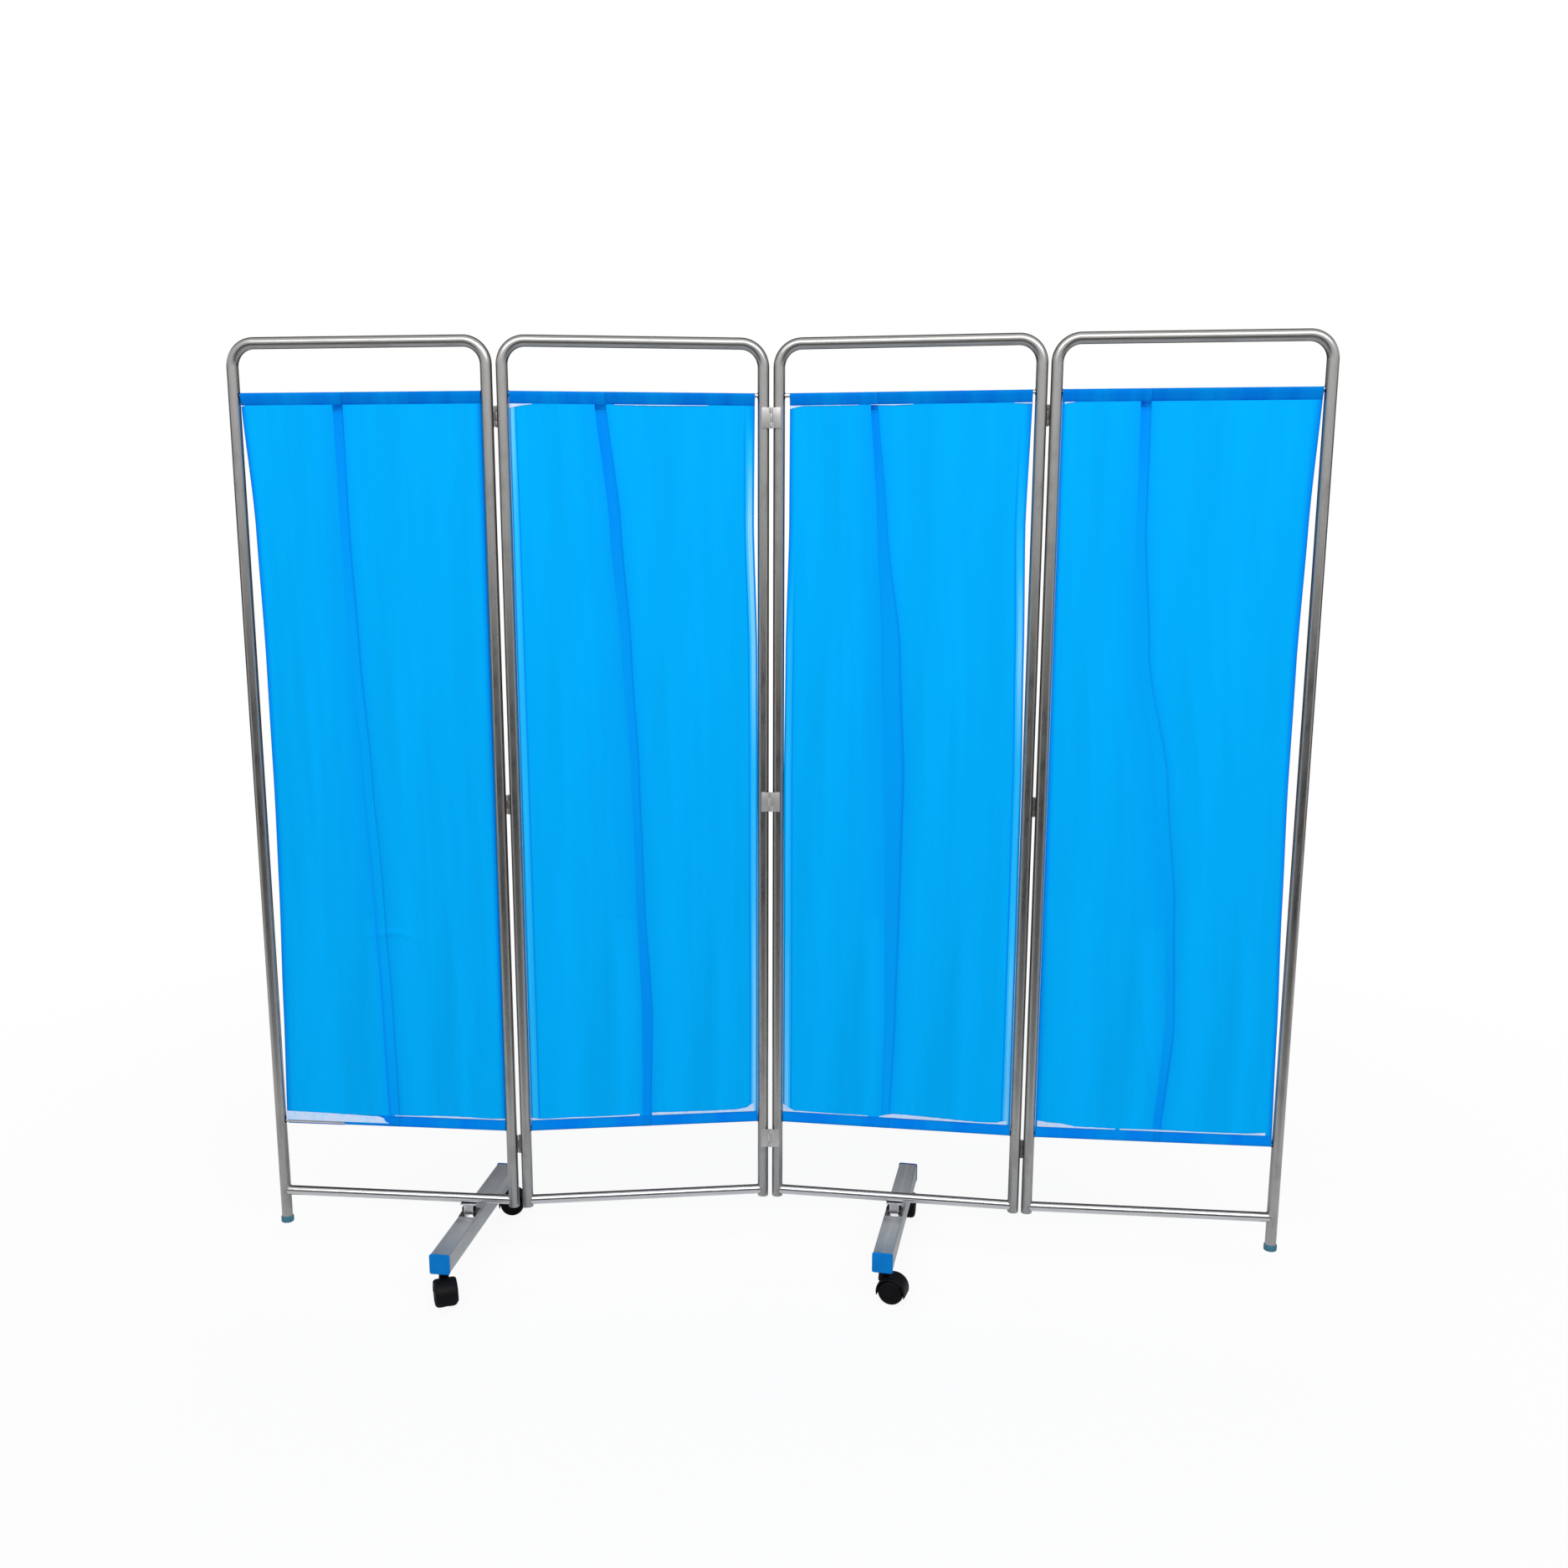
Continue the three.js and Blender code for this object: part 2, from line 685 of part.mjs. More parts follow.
// Twin-wheel castor housing: a hood over both wheels, the web between them that holds
// the axle, and the boss, collar and stem that carry the bar
function castorHousing() {
  const inner = wheel_radius + hood_gap;
  const outer = inner + hood_wall;
  const half_width = wheel_outer + hood_overhang;
  const hood = castorHood(outer, inner, half_width);
  const web_shape = new THREE.Shape();
  web_shape.absarc(0, 0, inner + hood_wall / 2, 0, Math.PI, false);
  web_shape.absarc(0, 0, web_reach, Math.PI, Math.PI * 2, false);
  web_shape.closePath();
  const web = prismAlongX(web_shape, -web_thickness / 2, web_thickness / 2, hood_side_count / 2);
  const bore_radius = axle_diameter / 2 + seat_gap;
  const axle_bore = crossBar(bore_radius, -web_thickness, web_thickness, barrel_side_count, 0, 0);
  const wheels_at = (geometry) => geometry.translate(0, -castor_trail, wheel_radius);
  const shell = hood.translate(0, -castor_trail, wheel_radius).add(solid(wheels_at(web)));
  const collar_top = castor_height - seat_gap;
  const boss_top = collar_top - collar_height;
  const boss = solid(uprightBar(boss_diameter / 2, wheel_radius, boss_top, barrel_side_count));
  const room_end = half_width + cut_overrun;
  const wheel_room = solid(wheels_at(crossBar(inner, -room_end, room_end, hood_side_count, 0, 0)));
  const boss_shell = boss.subtract(wheel_room);
  const collar = solid(uprightBar(collar_diameter / 2, boss_top, collar_top, barrel_side_count));
  const stem_top = castor_height + stem_rise;
  const stem = solid(uprightBar(stem_diameter / 2, boss_top, stem_top, barrel_side_count));
  const whole = shell.add(boss_shell).add(collar).add(stem);
  return geometryOf(whole.subtract(solid(wheels_at(axle_bore))));
}

// Both wheels and their axle, turned as one profile about X
function wheelPair() {
  const hub = hub_diameter / 2;
  const rim = wheel_radius - tread_width;
  const half_profile = [
    [0, wheel_outer],
    [hub, wheel_outer],
    [hub, wheel_outer - hub_recess],
    [rim, wheel_outer - hub_recess],
    [rim, wheel_outer],
    ...roundedEdge(wheel_radius, wheel_outer, wheel_round),
    [wheel_radius, wheel_inner],
    [axle_diameter / 2, wheel_inner],
  ];
  return turnedAboutX(half_profile, wheel_side_count).translate(0, -castor_trail, wheel_radius);
}

// Assembly

function addCastor(bar, label, end) {
  const mount = new THREE.Group();
  mount.position.y = end * (capFace() - castor_inset);
  mount.rotation.z = radians(castor_turns_deg[label]);
  bar.add(mount);
  add(mount, `castor_${label}_housing`, castorHousing(), black_plastic);
  add(mount, `castor_${label}_wheels`, wheelPair(), black_plastic);
}

// A bracket square to the panel, on a bar that is turned under it and reaches further back
function addBase(panel, number) {
  const base = new THREE.Group();
  base.position.x = bar_place_shares[number] * panel_pitch;
  panel.add(base);
  add(base, `base_bar_${number}_rail_bracket`, railBracket(), satin_steel);
  add(base, `base_bar_${number}_saddle`, saddle(), bright_steel);
  add(base, `base_bar_${number}_bolt`, bracketBolt(), black_steel);
  const turned = new THREE.Group();
  turned.rotation.z = radians(bar_turns_deg[number]);
  base.add(turned);
  const bar = new THREE.Group();
  bar.position.y = bar_rear_shift;
  turned.add(bar);
  add(bar, `base_bar_${number}`, baseBar(), brushed_steel);
  add(bar, `base_bar_${number}_front_cap`, endCap(-1), blue_plastic);
  add(bar, `base_bar_${number}_rear_cap`, endCap(1), blue_plastic);
  addCastor(bar, `${number}_front`, -1);
  addCastor(bar, `${number}_rear`, 1);
}

function addPanelParts(panel, number) {
  const name = `panel_${number}`;
  const left_end = number === 1 ? outer_leg_end : inner_leg_end;
  const right_end = number === panel_count ? outer_leg_end : inner_leg_end;
  add(panel, `${name}_hoop`, hoop(left_end, right_end), satin_steel);
  add(panel, `${name}_cross_rail`, crossRail(), bright_steel);
  add(panel, `${name}_top_rod`, curtainRod(top_rod_height), bright_steel);
  add(panel, `${name}_bottom_rod`, curtainRod(bottom_rod_height), bright_steel);
  add(panel, `${name}_curtain`, curtain(curtain_shares[number]), azure_cloth);
}

function addFoot(panel, number, x) {
  add(panel, `panel_${number}_foot`, rubberFoot(), teal_rubber).position.x = x;
}

// Hinge lines two panels share: the outer two lie behind the tubes, the middle one in front
const hinge_faces = [1, -1, 1];

function addHinges(panel, next, number) {
  const face = hinge_faces[number - 1];
  for (const [level, height] of Object.entries(hinge_heights)) {
    const left_leaf = hingeLeaf(face < 0);
    const right_leaf = hingeLeaf(face > 0);
    const name = `hinge_${number}_${level}`;
    if (face > 0) {
      left_leaf.rotateX(Math.PI);
      right_leaf.rotateZ(Math.PI);
    } else {
      right_leaf.rotateX(Math.PI).rotateZ(Math.PI);
    }
    const left_mesh = add(panel, `${name}_left_leaf`, left_leaf, satin_steel);
    const right_mesh = add(next, `${name}_right_leaf`, right_leaf, satin_steel);
    left_mesh.position.set(panel_pitch, face * hinge_reach, height);
    right_mesh.position.set(0, face * hinge_reach, height);
  }
}

// Each panel hangs on the hinge line of the one before it
function buildScreen() {
  const screen = new THREE.Group();
  let parent = screen;
  let parent_heading = 0;
  const panels = [];
  for (let number = 1; number <= panel_count; number += 1) {
    const panel = new THREE.Group();
    const turn = radians(panel_headings_deg[number - 1] - parent_heading);
    parent_heading = panel_headings_deg[number - 1];
    const face = number > 1 ? hinge_faces[number - 2] : 0;
    const pivot = new THREE.Group();
    pivot.position.set(number > 1 ? panel_pitch : 0, face * hinge_reach, 0);
    pivot.rotation.z = turn;
    panel.position.y = -face * hinge_reach;
    pivot.add(panel);
    parent.add(pivot);
    parent = panel;
    panels.push(panel);
    addPanelParts(panel, number);
    if (bar_place_shares[number]) {
      addBase(panel, number);
    }
    if (number > 1) {
      addHinges(panels[number - 2], panel, number - 1);
    }
  }
  addFoot(panels[0], 1, leg_inset);
  addFoot(panels[panel_count - 1], panel_count, leg_far);
  return screen;
}

// The origin is the middle of the footprint, at the floor
const ward_screen = new THREE.Group();
const assembly = buildScreen();
ward_screen.add(assembly);
ward_screen.updateMatrixWorld(true);
const extent = new THREE.Box3().setFromObject(assembly, true);
const middle = extent.getCenter(new THREE.Vector3());
assembly.position.set(-middle.x, -middle.y, -extent.min.z);

export default ward_screen;
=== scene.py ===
# Ward privacy screen on wheels: fine pieces, cloth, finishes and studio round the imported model
import json
import math
from collections import namedtuple

import bmesh
import bpy
from bpy.props import FloatProperty, FloatVectorProperty, PointerProperty
from mathutils import Matrix, Vector, noise


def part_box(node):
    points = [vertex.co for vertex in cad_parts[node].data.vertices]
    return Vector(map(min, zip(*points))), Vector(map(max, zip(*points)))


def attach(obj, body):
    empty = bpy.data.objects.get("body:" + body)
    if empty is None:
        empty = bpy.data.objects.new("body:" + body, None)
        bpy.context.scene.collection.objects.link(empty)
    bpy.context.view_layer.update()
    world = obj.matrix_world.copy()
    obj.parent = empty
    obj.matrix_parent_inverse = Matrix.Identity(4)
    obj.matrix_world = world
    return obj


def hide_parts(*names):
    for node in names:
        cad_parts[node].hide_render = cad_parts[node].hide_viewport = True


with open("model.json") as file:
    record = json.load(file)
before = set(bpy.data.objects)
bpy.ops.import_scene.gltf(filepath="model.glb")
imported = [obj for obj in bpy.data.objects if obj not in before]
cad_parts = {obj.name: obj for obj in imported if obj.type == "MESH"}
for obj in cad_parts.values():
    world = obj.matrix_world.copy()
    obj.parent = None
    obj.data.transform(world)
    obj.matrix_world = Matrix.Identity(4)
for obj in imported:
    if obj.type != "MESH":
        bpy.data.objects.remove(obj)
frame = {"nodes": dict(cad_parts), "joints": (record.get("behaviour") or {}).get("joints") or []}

bl_info = {
    "name": "Ward privacy screen",
    "version": (1, 0, 0),
    "blender": (4, 5, 0),
    "location": "3D View > Sidebar > Ward screen",
    "description": "Builds the fine pieces, the cloth and the finishes of a folding ward screen",
    "category": "Add Mesh",
}

panel_numbers = (1, 2, 3, 4)
barred_panels = (1, 3)
hinge_levels = ("top", "middle", "bottom")
castors = ("1_front", "1_rear", "3_front", "3_rear")
mm = 0.001

# Side of the tubes that each junction's hinges are on: 1 for the rear, -1 for the front
hinge_faces = {1: 1, 2: -1, 3: 1}

# Places that are closer together than this, in metres, count as one
touch = 1e-6

# Least turn between two faces, in radians, at an edge that is rounded and at a flat face's rim
edge_turn = math.radians(35)
rim_turn = 1.2


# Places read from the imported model

def node_points(node, matrix=Matrix()):
    """A node's vertices, in the frame that matrix places."""
    back = matrix.inverted()
    return [back @ vertex.co for vertex in frame["nodes"][node].data.vertices]


def node_centre(node):
    low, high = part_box(node)
    return (low + high) / 2


def own_box(node, matrix):
    """Lowest and highest corners of a node, in a panel's, bar's or castor's own frame."""
    points = node_points(node, matrix)
    low = Vector(min(point[axis] for point in points) for axis in range(3))
    high = Vector(max(point[axis] for point in points) for axis in range(3))
    return low, high


def joint_called(name):
    return next(joint for joint in frame["joints"] if joint["name"] == name)


def joint_place(name):
    return Vector(joint_called(name)["pos_m"])


def rod_ends(node):
    """The middles of a rod's two ends, the one at lower X first."""
    points = node_points(node)
    middle = sum((point.x for point in points), 0.0) / len(points)
    ends = []
    for side in (-1, 1):
        group = [point for point in points if (point.x - middle) * side > 0]
        ends.append(sum(group, Vector()) / len(group))
    return ends


def leg_ends(number):
    """Heights of the ends of a hoop's left and right legs."""
    points = node_points(f"panel_{number}_hoop", panel_matrix(number))
    return [min(point.z for point in points if point.x * side > 0) for side in (-1, 1)]


def standing(place, turn):
    """A frame on the floor under a place, turned about the upright axis."""
    return Matrix.Translation((place[0], place[1], 0)) @ Matrix.Rotation(turn, 4, "Z")


def panel_matrix(number):
    """A panel's own frame: X along the panel from its middle, Y to the rear, Z up from the floor."""
    left, right = rod_ends(f"panel_{number}_top_rod")
    across = (right - left).normalized()
    return standing((left + right) / 2, math.atan2(across.y, across.x))


def bar_matrix(number):
    """A base bar's own frame: Y along the bar to the rear, the middle between its two swivels."""
    front, rear = (joint_place(f"castor_{number}_{end}_swivel") for end in ("front", "rear"))
    run = rear - front
    return standing((front + rear) / 2, math.atan2(run.y, run.x) - math.pi / 2)


def castor_matrix(castor):
    """A castor's own frame: Z up the swivel axis from the floor, X along the axle."""
    axle = Vector(joint_called(f"castor_{castor}_roll")["axis"])
    return standing(joint_place(f"castor_{castor}_swivel"), math.atan2(axle.y, axle.x))


# Mesh work

def box(bm, size, centre):
    """A box added to bm; gives back its vertices."""
    made = bmesh.ops.create_cube(bm, size=1)["verts"]
    bmesh.ops.scale(bm, vec=size, verts=made)
    bmesh.ops.translate(bm, vec=centre, verts=made)
    return made


def bar_between(bm, start, end, radius, segments, radius_end=None):
    """A closed round bar or cone from start to end; gives back its vertices."""
    start, end = Vector(start), Vector(end)
    run = end - start
    far = radius if radius_end is None else radius_end
    made = bmesh.ops.create_cone(
        bm, cap_ends=True, segments=segments, radius1=radius, radius2=far, depth=run.length
    )["verts"]
    turn = run.to_track_quat("Z", "Y").to_matrix().to_4x4()
    bmesh.ops.transform(bm, matrix=Matrix.Translation((start + end) / 2) @ turn, verts=made)
    return made


def edges_of(verts):
    kept = set(verts)
    return [edge for edge in {e for v in verts for e in v.link_edges} if set(edge.verts) <= kept]


def edges_along(edges, axis, least):
    """Those edges that run more than a least length along an axis: 0, 1 or 2 for X, Y or Z."""
    return [edge for edge in edges if abs(edge.verts[0].co[axis] - edge.verts[1].co[axis]) > least]


def sharp_edges(edges, least):
    """Those edges whose two faces turn by more than a least angle."""
    return [edge for edge in edges if len(edge.link_faces) == 2 and edge.calc_face_angle(0) > least]


def bevel(bm, edges, width, segments, clamp=False):
    bmesh.ops.bevel(
        bm, geom=edges, offset=width, offset_type="OFFSET", affect="EDGES",
        segments=segments, profile=0.5, material=-1, clamp_overlap=clamp,
    )


def round_edges(bm, verts, width, segments):
    """Bevels every sharp edge among verts."""
    bevel(bm, sharp_edges(edges_of(verts), edge_turn), width, segments, clamp=True)


def linked(verts):
    """Verts, and every vertex that a run of edges joins to them."""
    todo, found = list(verts), set(verts)
    while todo:
        for edge in todo.pop().link_edges:
            for vert in edge.verts:
                if vert not in found:
                    found.add(vert)
                    todo.append(vert)
    return found


def turned(bm, outline, segments, axis=(0, 0, 1), centre=(0, 0, 0)):
    """Spins an outline of points about an axis into a closed solid."""
    verts = [bm.verts.new(point) for point in outline]
    edges = [bm.edges.new(pair) for pair in zip(verts, verts[1:])]
    bmesh.ops.spin(
        bm, geom=verts + edges, cent=centre, axis=axis, angle=math.tau, steps=segments, use_merge=True
    )
    found = linked(verts)
    bmesh.ops.remove_doubles(bm, verts=list(found), dist=touch)
    faces = {face for vert in found if vert.is_valid for face in vert.link_faces}
    bmesh.ops.recalc_face_normals(bm, faces=list(faces))


def arc(centre, radius, start_deg, end_deg, steps):
    """Points of an arc in a plane, as pairs."""
    pairs = []
    for step in range(steps + 1):
        turn = math.radians(start_deg + (end_deg - start_deg) * step / steps)
        pairs.append((centre[0] + radius * math.cos(turn), centre[1] + radius * math.sin(turn)))
    return pairs


def add_object(name, data):
    """A new object of the scene, at the origin."""
    made = bpy.data.objects.new(name, data)
    bpy.context.scene.collection.objects.link(made)
    return made


def mesh_object(name, bm, material):
    """A new object with a bmesh's form; the bmesh is freed."""
    mesh = bpy.data.meshes.new(name)
    bm.to_mesh(mesh)
    bm.free()
    mesh.materials.append(material)
    return add_object(name, mesh)


def make_piece(name, bm, matrix, finish, body, replaces=(), sharp_deg=32):
    """Turns a bmesh into a piece that stands in its place and rides on its body."""
    bmesh.ops.transform(bm, matrix=matrix, verts=bm.verts)
    piece = mesh_object(name, bm, finish)
    piece.data.shade_smooth()
    piece.data.set_sharp_from_angle(angle=math.radians(sharp_deg))
    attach(piece, body)
    if replaces:
        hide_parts(*replaces)
    return piece


# Finishes

def shade(red, green, blue):
    """A colour of the screen, 0 to 255 a channel, as the linear values that shaders take."""
    linear = []
    for channel in (red, green, blue):
        value = channel / 255
        linear.append(value / 12.92 if value <= 0.04045 else ((value + 0.055) / 1.055) ** 2.4)
    return tuple(linear)


def darker(color, share):
    """A colour times a share; a share above 1 makes it lighter."""
    return tuple(channel * share for channel in color)


class Nodes:
    """A node tree under way: its nodes and links in short calls."""

    def __init__(self, tree):
        self.tree = tree

    def feed(self, socket, value):
        """Links a socket to another node's output, or sets its number, vector or colour."""
        if isinstance(value, bpy.types.NodeSocket):
            self.tree.links.new(value, socket)
        elif socket.type == "RGBA":
            socket.default_value = (*value, 1)
        else:
            socket.default_value = value

    def node(self, kind, inputs=None, **settings):
        made = self.tree.nodes.new(kind)
        for key, value in settings.items():
            setattr(made, key, value)
        for key, value in (inputs or {}).items():
            self.feed(made.inputs[key], value)
        return made

    def math(self, operation, first, second):
        return self.node("ShaderNodeMath", {0: first, 1: second}, operation=operation).outputs[0]

    def mix(self, share, first, second):
        return self.node("ShaderNodeMix", {0: share, 6: first, 7: second}, data_type="RGBA").outputs[2]

    def spread(self, value, low, high, to_low=0.0, to_high=1.0, **settings):
        """A value's range from low to high, laid out from to_low to to_high."""
        ends = {"From Min": low, "From Max": high, "To Min": to_low, "To Max": to_high}
        return self.node("ShaderNodeMapRange", {"Value": value, **ends}, **settings).outputs["Result"]

    def background_rays(self):
        """1 where the camera, a reflection or a see-through piece looks at the surroundings."""
        rays = self.node("ShaderNodeLightPath").outputs
        seen = self.math("MAXIMUM", rays["Is Camera Ray"], rays["Is Glossy Ray"])
        return self.math("MAXIMUM", seen, rays["Is Transmission Ray"])


class Finish(Nodes):
    """A material under way: patterns, and the sockets of its principled shader."""

    def __init__(self, name, color, roughness, metallic=0.0):
        self.material = bpy.data.materials.new(name)
        self.material.use_nodes = True
        super().__init__(self.material.node_tree)
        self.shader = self.tree.nodes["Principled BSDF"]
        self.shader.inputs["Base Color"].default_value = (*color, 1)
        self.shader.inputs["Roughness"].default_value = roughness
        self.shader.inputs["Metallic"].default_value = metallic

    def places(self, scale=(1, 1, 1), source="Object"):
        coords = self.node("ShaderNodeTexCoord").outputs[source]
        return self.node("ShaderNodeMapping", {"Vector": coords, "Scale": scale}).outputs["Vector"]

    def noise(self, vector, scale, detail, roughness=0.5):
        inputs = {"Vector": vector, "Scale": scale, "Detail": detail, "Roughness": roughness}
        return self.node("ShaderNodeTexNoise", inputs).outputs["Fac"]

    def grain(self, scale, source="Object", detail=2.0, roughness=0.5):
        """Noise with a scale of its own along each axis, so that its marks run one way."""
        return self.noise(self.places(scale, source), 1.0, detail, roughness)

    def tint(self, base, tone, pattern, low, high, most=1.0):
        """Base turned towards a tone where a pattern goes from low to high, by a share at most."""
        return self.mix(self.spread(pattern, low, high, 0.0, most), base, tone)

    def vary(self, base, pattern, low, high, less, more):
        """A number plus less where a pattern is low, and plus more where it is high."""
        return self.math("ADD", self.spread(pattern, low, high, less, more), base)

    def color(self, socket):
        self.feed(self.shader.inputs["Base Color"], socket)

    def roughness(self, socket):
        self.feed(self.shader.inputs["Roughness"], socket)

    def bump(self, height, distance, strength, below=None):
        """Lays relief on the surface, over the relief below if there is any."""
        inputs = {"Height": height, "Distance": distance, "Strength": strength}
        if below is not None:
            inputs["Normal"] = below
        normal = self.node("ShaderNodeBump", inputs).outputs["Normal"]
        self.feed(self.shader.inputs["Normal"], normal)
        return normal


# How much the tone of the cloth rises from one of its blues to the next; at 0 it is single cloth
ply_tone = 0.5


def tube_steel(name, color, roughness, smudge_share):
    """Stainless tube: drawn lines along the tube, cloudy tone, faint stains and rubbed spots."""
    finish = Finish(name, color, roughness, 1.0)
    lines = finish.grain((2600, 9, 1), "UV")
    clouds = finish.grain((40, 14, 1), "UV", detail=4.0, roughness=0.6)
    spots = finish.grain((180, 180, 180), "UV")
    toned = finish.tint(color, darker(color, smudge_share), clouds, 0.5, 0.72)
    finish.color(finish.tint(toned, darker(color, 0.45), spots, 0.68, 0.78, most=0.35))
    rubbed = finish.vary(roughness, clouds, 0.3, 0.7, less=-0.05, more=0.08)
    finish.roughness(finish.vary(rubbed, lines, 0.3, 0.7, less=-0.03, more=0.03))
    finish.bump(lines, 0.02 * mm, 0.5)
    return finish.material


def flat_steel(name, color, roughness, grain, metallic=1.0):
    """Brushed or cut steel: grain lines set by the scale of each axis, cloudy tone, fine scratches."""
    finish = Finish(name, color, roughness, metallic)
    lines = finish.grain(grain, detail=3.0)
    clouds = finish.noise(finish.places(), 22.0, detail=4.0, roughness=0.6)
    scratches = finish.grain((60, 900, 60), detail=1.0)
    toned = finish.tint(color, darker(color, 0.8), clouds, 0.4, 0.7)
    finish.color(finish.tint(toned, darker(color, 1.25), scratches, 0.7, 0.78, most=0.4))
    finish.roughness(finish.vary(roughness, clouds, 0.3, 0.7, less=-0.05, more=0.08))
    finish.bump(lines, 0.03 * mm, 0.5)
    return finish.material


def bar_steel(name, color):
    """Brushed square tube: grain along the bar, cloudy tone and a few long scratches."""
    finish = Finish(name, color, 0.33, 0.74)
    lines = finish.grain((1600, 12, 1), "UV", detail=3.0)
    clouds = finish.grain((30, 9, 1), "UV", detail=4.0, roughness=0.6)
    scratches = finish.grain((420, 7, 1), "UV")
    toned = finish.tint(color, darker(color, 0.84), clouds, 0.4, 0.7)
    finish.color(finish.tint(toned, darker(color, 1.2), scratches, 0.66, 0.76, most=0.5))
    finish.roughness(finish.spread(lines, 0.3, 0.7, 0.44, 0.54))
    finish.bump(lines, 0.03 * mm, 0.6)
    return finish.material


def weld_steel(name, color):
    """Weld metal: rippled, with straw and brown heat tint."""
    straw = (0.36, 0.27, 0.18)
    finish = Finish(name, color, 0.35, 1.0)
    heat = finish.noise(finish.places(), 320.0, detail=3.0)
    finish.color(finish.tint(color, straw, heat, 0.4, 0.65))
    finish.bump(finish.noise(finish.places(), 900.0, detail=2.0), 0.2 * mm, 0.7)
    return finish.material


def plastic(name, color, roughness, grain=2400.0, worn=1.25):
    """Moulded plastic or rubber: fine moulded grain, handling scuffs and slight tone change."""
    finish = Finish(name, color, roughness)
    finish.shader.inputs["Specular IOR Level"].default_value = 0.08
    clouds = finish.noise(finish.places(), 45.0, detail=3.0)
    scuffs = finish.grain((120, 700, 120))
    toned = finish.tint(color, darker(color, 0.86), clouds, 0.35, 0.7)
    finish.color(finish.tint(toned, darker(color, worn), scuffs, 0.66, 0.8, most=0.5))
    finish.roughness(finish.vary(roughness, scuffs, 0.4, 0.8, less=0.0, more=0.14))
    finish.bump(finish.noise(finish.places(), grain, detail=2.0), 0.04 * mm, 0.6)
    return finish.material


def cloth_finish(name, looks, thread_pitch):
    """Plain weave, deeper where it lies double and where shade is painted, with threads, slubs and soft
    streaks of painted fold shade.
    """
    single = tuple(looks.cloth)
    finish = Finish(name, single, 0.78)
    finish.shader.inputs["Specular IOR Level"].default_value = 0.02
    tone = finish.node("ShaderNodeAttribute", attribute_name="tone").outputs["Fac"]
    # The last of the blues is the painted shade under the top pockets
    base, low = looks.pale, -2 * ply_tone
    for deeper in (looks.hem, single, looks.double, looks.pocket, looks.shade_under_pocket):
        base = finish.tint(base, deeper, tone, low, low + ply_tone)
        low += ply_tone
    # Soft streaks of painted fold shade, darker than the cloth, running down it
    fold_shade_streaks = finish.grain((16, 1.2, 1), "UV", detail=4.0, roughness=0.55)
    base = finish.tint(base, darker(single, 0.8), fold_shade_streaks, 0.38, 0.72, most=0.55)
    waves_per_turn = 20
    waves = {"Vector": finish.places(source="UV"), "Scale": math.tau / (waves_per_turn * thread_pitch)}
    across, down = (
        finish.node("ShaderNodeTexWave", waves, bands_direction=way).outputs["Fac"] for way in "XY"
    )
    weave = finish.math("MULTIPLY", across, down)
    slubs = finish.grain((1500, 60, 1), "UV")
    finish.color(finish.tint(base, darker(single, 1.12), slubs, 0.62, 0.8, most=0.25))
    threads = finish.bump(weave, 0.12 * mm, 0.35)
    finish.bump(slubs, 0.08 * mm, 0.3, below=threads)
    finish.roughness(finish.spread(weave, 0.0, 1.0, 0.66, 0.82))
    return finish.material


def sheen_strip_finish(name, color):
    """Painted sheen along the pockets, laid as a pale strip: soft ribs across and a little see-through blue.
    """
    finish = Finish(name, color, 0.6)
    finish.shader.inputs["Specular IOR Level"].default_value = 0.1
    cloth_below = shade(120, 196, 250)
    clouds = finish.grain((90, 20, 90), detail=3.0)
    finish.color(finish.tint(color, cloth_below, clouds, 0.45, 0.75, most=0.6))
    finish.bump(finish.grain((30, 30, 2600), detail=1.0), 0.1 * mm, 0.4)
    return finish.material


# Scale of the grain along each axis: hinge leaves are brushed level, plates and bolts upright
level_grain = (300, 300, 1800)
upright_grain = (900, 900, 30)

finishes = {
    "satin_steel": lambda name, sizes, looks: tube_steel(name, looks.tube, 0.3, smudge_share=0.78),
    "bright_steel": lambda name, sizes, looks: tube_steel(name, looks.bright, 0.17, smudge_share=0.86),
    "weld_steel": lambda name, sizes, looks: weld_steel(name, darker(looks.tube, 0.8)),
    "hinge_steel": lambda name, sizes, looks: flat_steel(name, looks.hinge, 0.36, level_grain, 0.5),
    "plate_steel": lambda name, sizes, looks: flat_steel(name, looks.bright, 0.24, upright_grain),
    "black_steel": lambda name, sizes, looks: flat_steel(name, looks.bolt, 0.36, upright_grain),
    "bar_steel": lambda name, sizes, looks: bar_steel(name, looks.bar),
    "blue_plastic": lambda name, sizes, looks: plastic(name, looks.cap, 0.34),
    "black_plastic": lambda name, sizes, looks: plastic(name, looks.black, 0.42, 1600, worn=2.2),
    "black_tread": lambda name, sizes, looks: plastic(name, darker(looks.black, 0.85), 0.5, 900, worn=2.6),
    "teal_rubber": lambda name, sizes, looks: plastic(name, looks.foot, 0.55, 1300, worn=1.5),
    "azure_cloth": lambda name, sizes, looks: cloth_finish(name, looks, sizes.thread),
    "painted_sheen_strip": lambda name, sizes, looks: sheen_strip_finish(name, looks.sheen_strip),
}


def sizes_of(context):
    return context.scene.ward_sizes


def looks_of(context):
    return context.scene.ward_looks


def finish_called(name, context):
    """One of the screen's finishes, made at its first use and then shared."""
    made = bpy.data.materials.get(f"fine_{name}")
    return made or finishes[name](f"fine_{name}", sizes_of(context), looks_of(context))


# Shared steps of the pieces

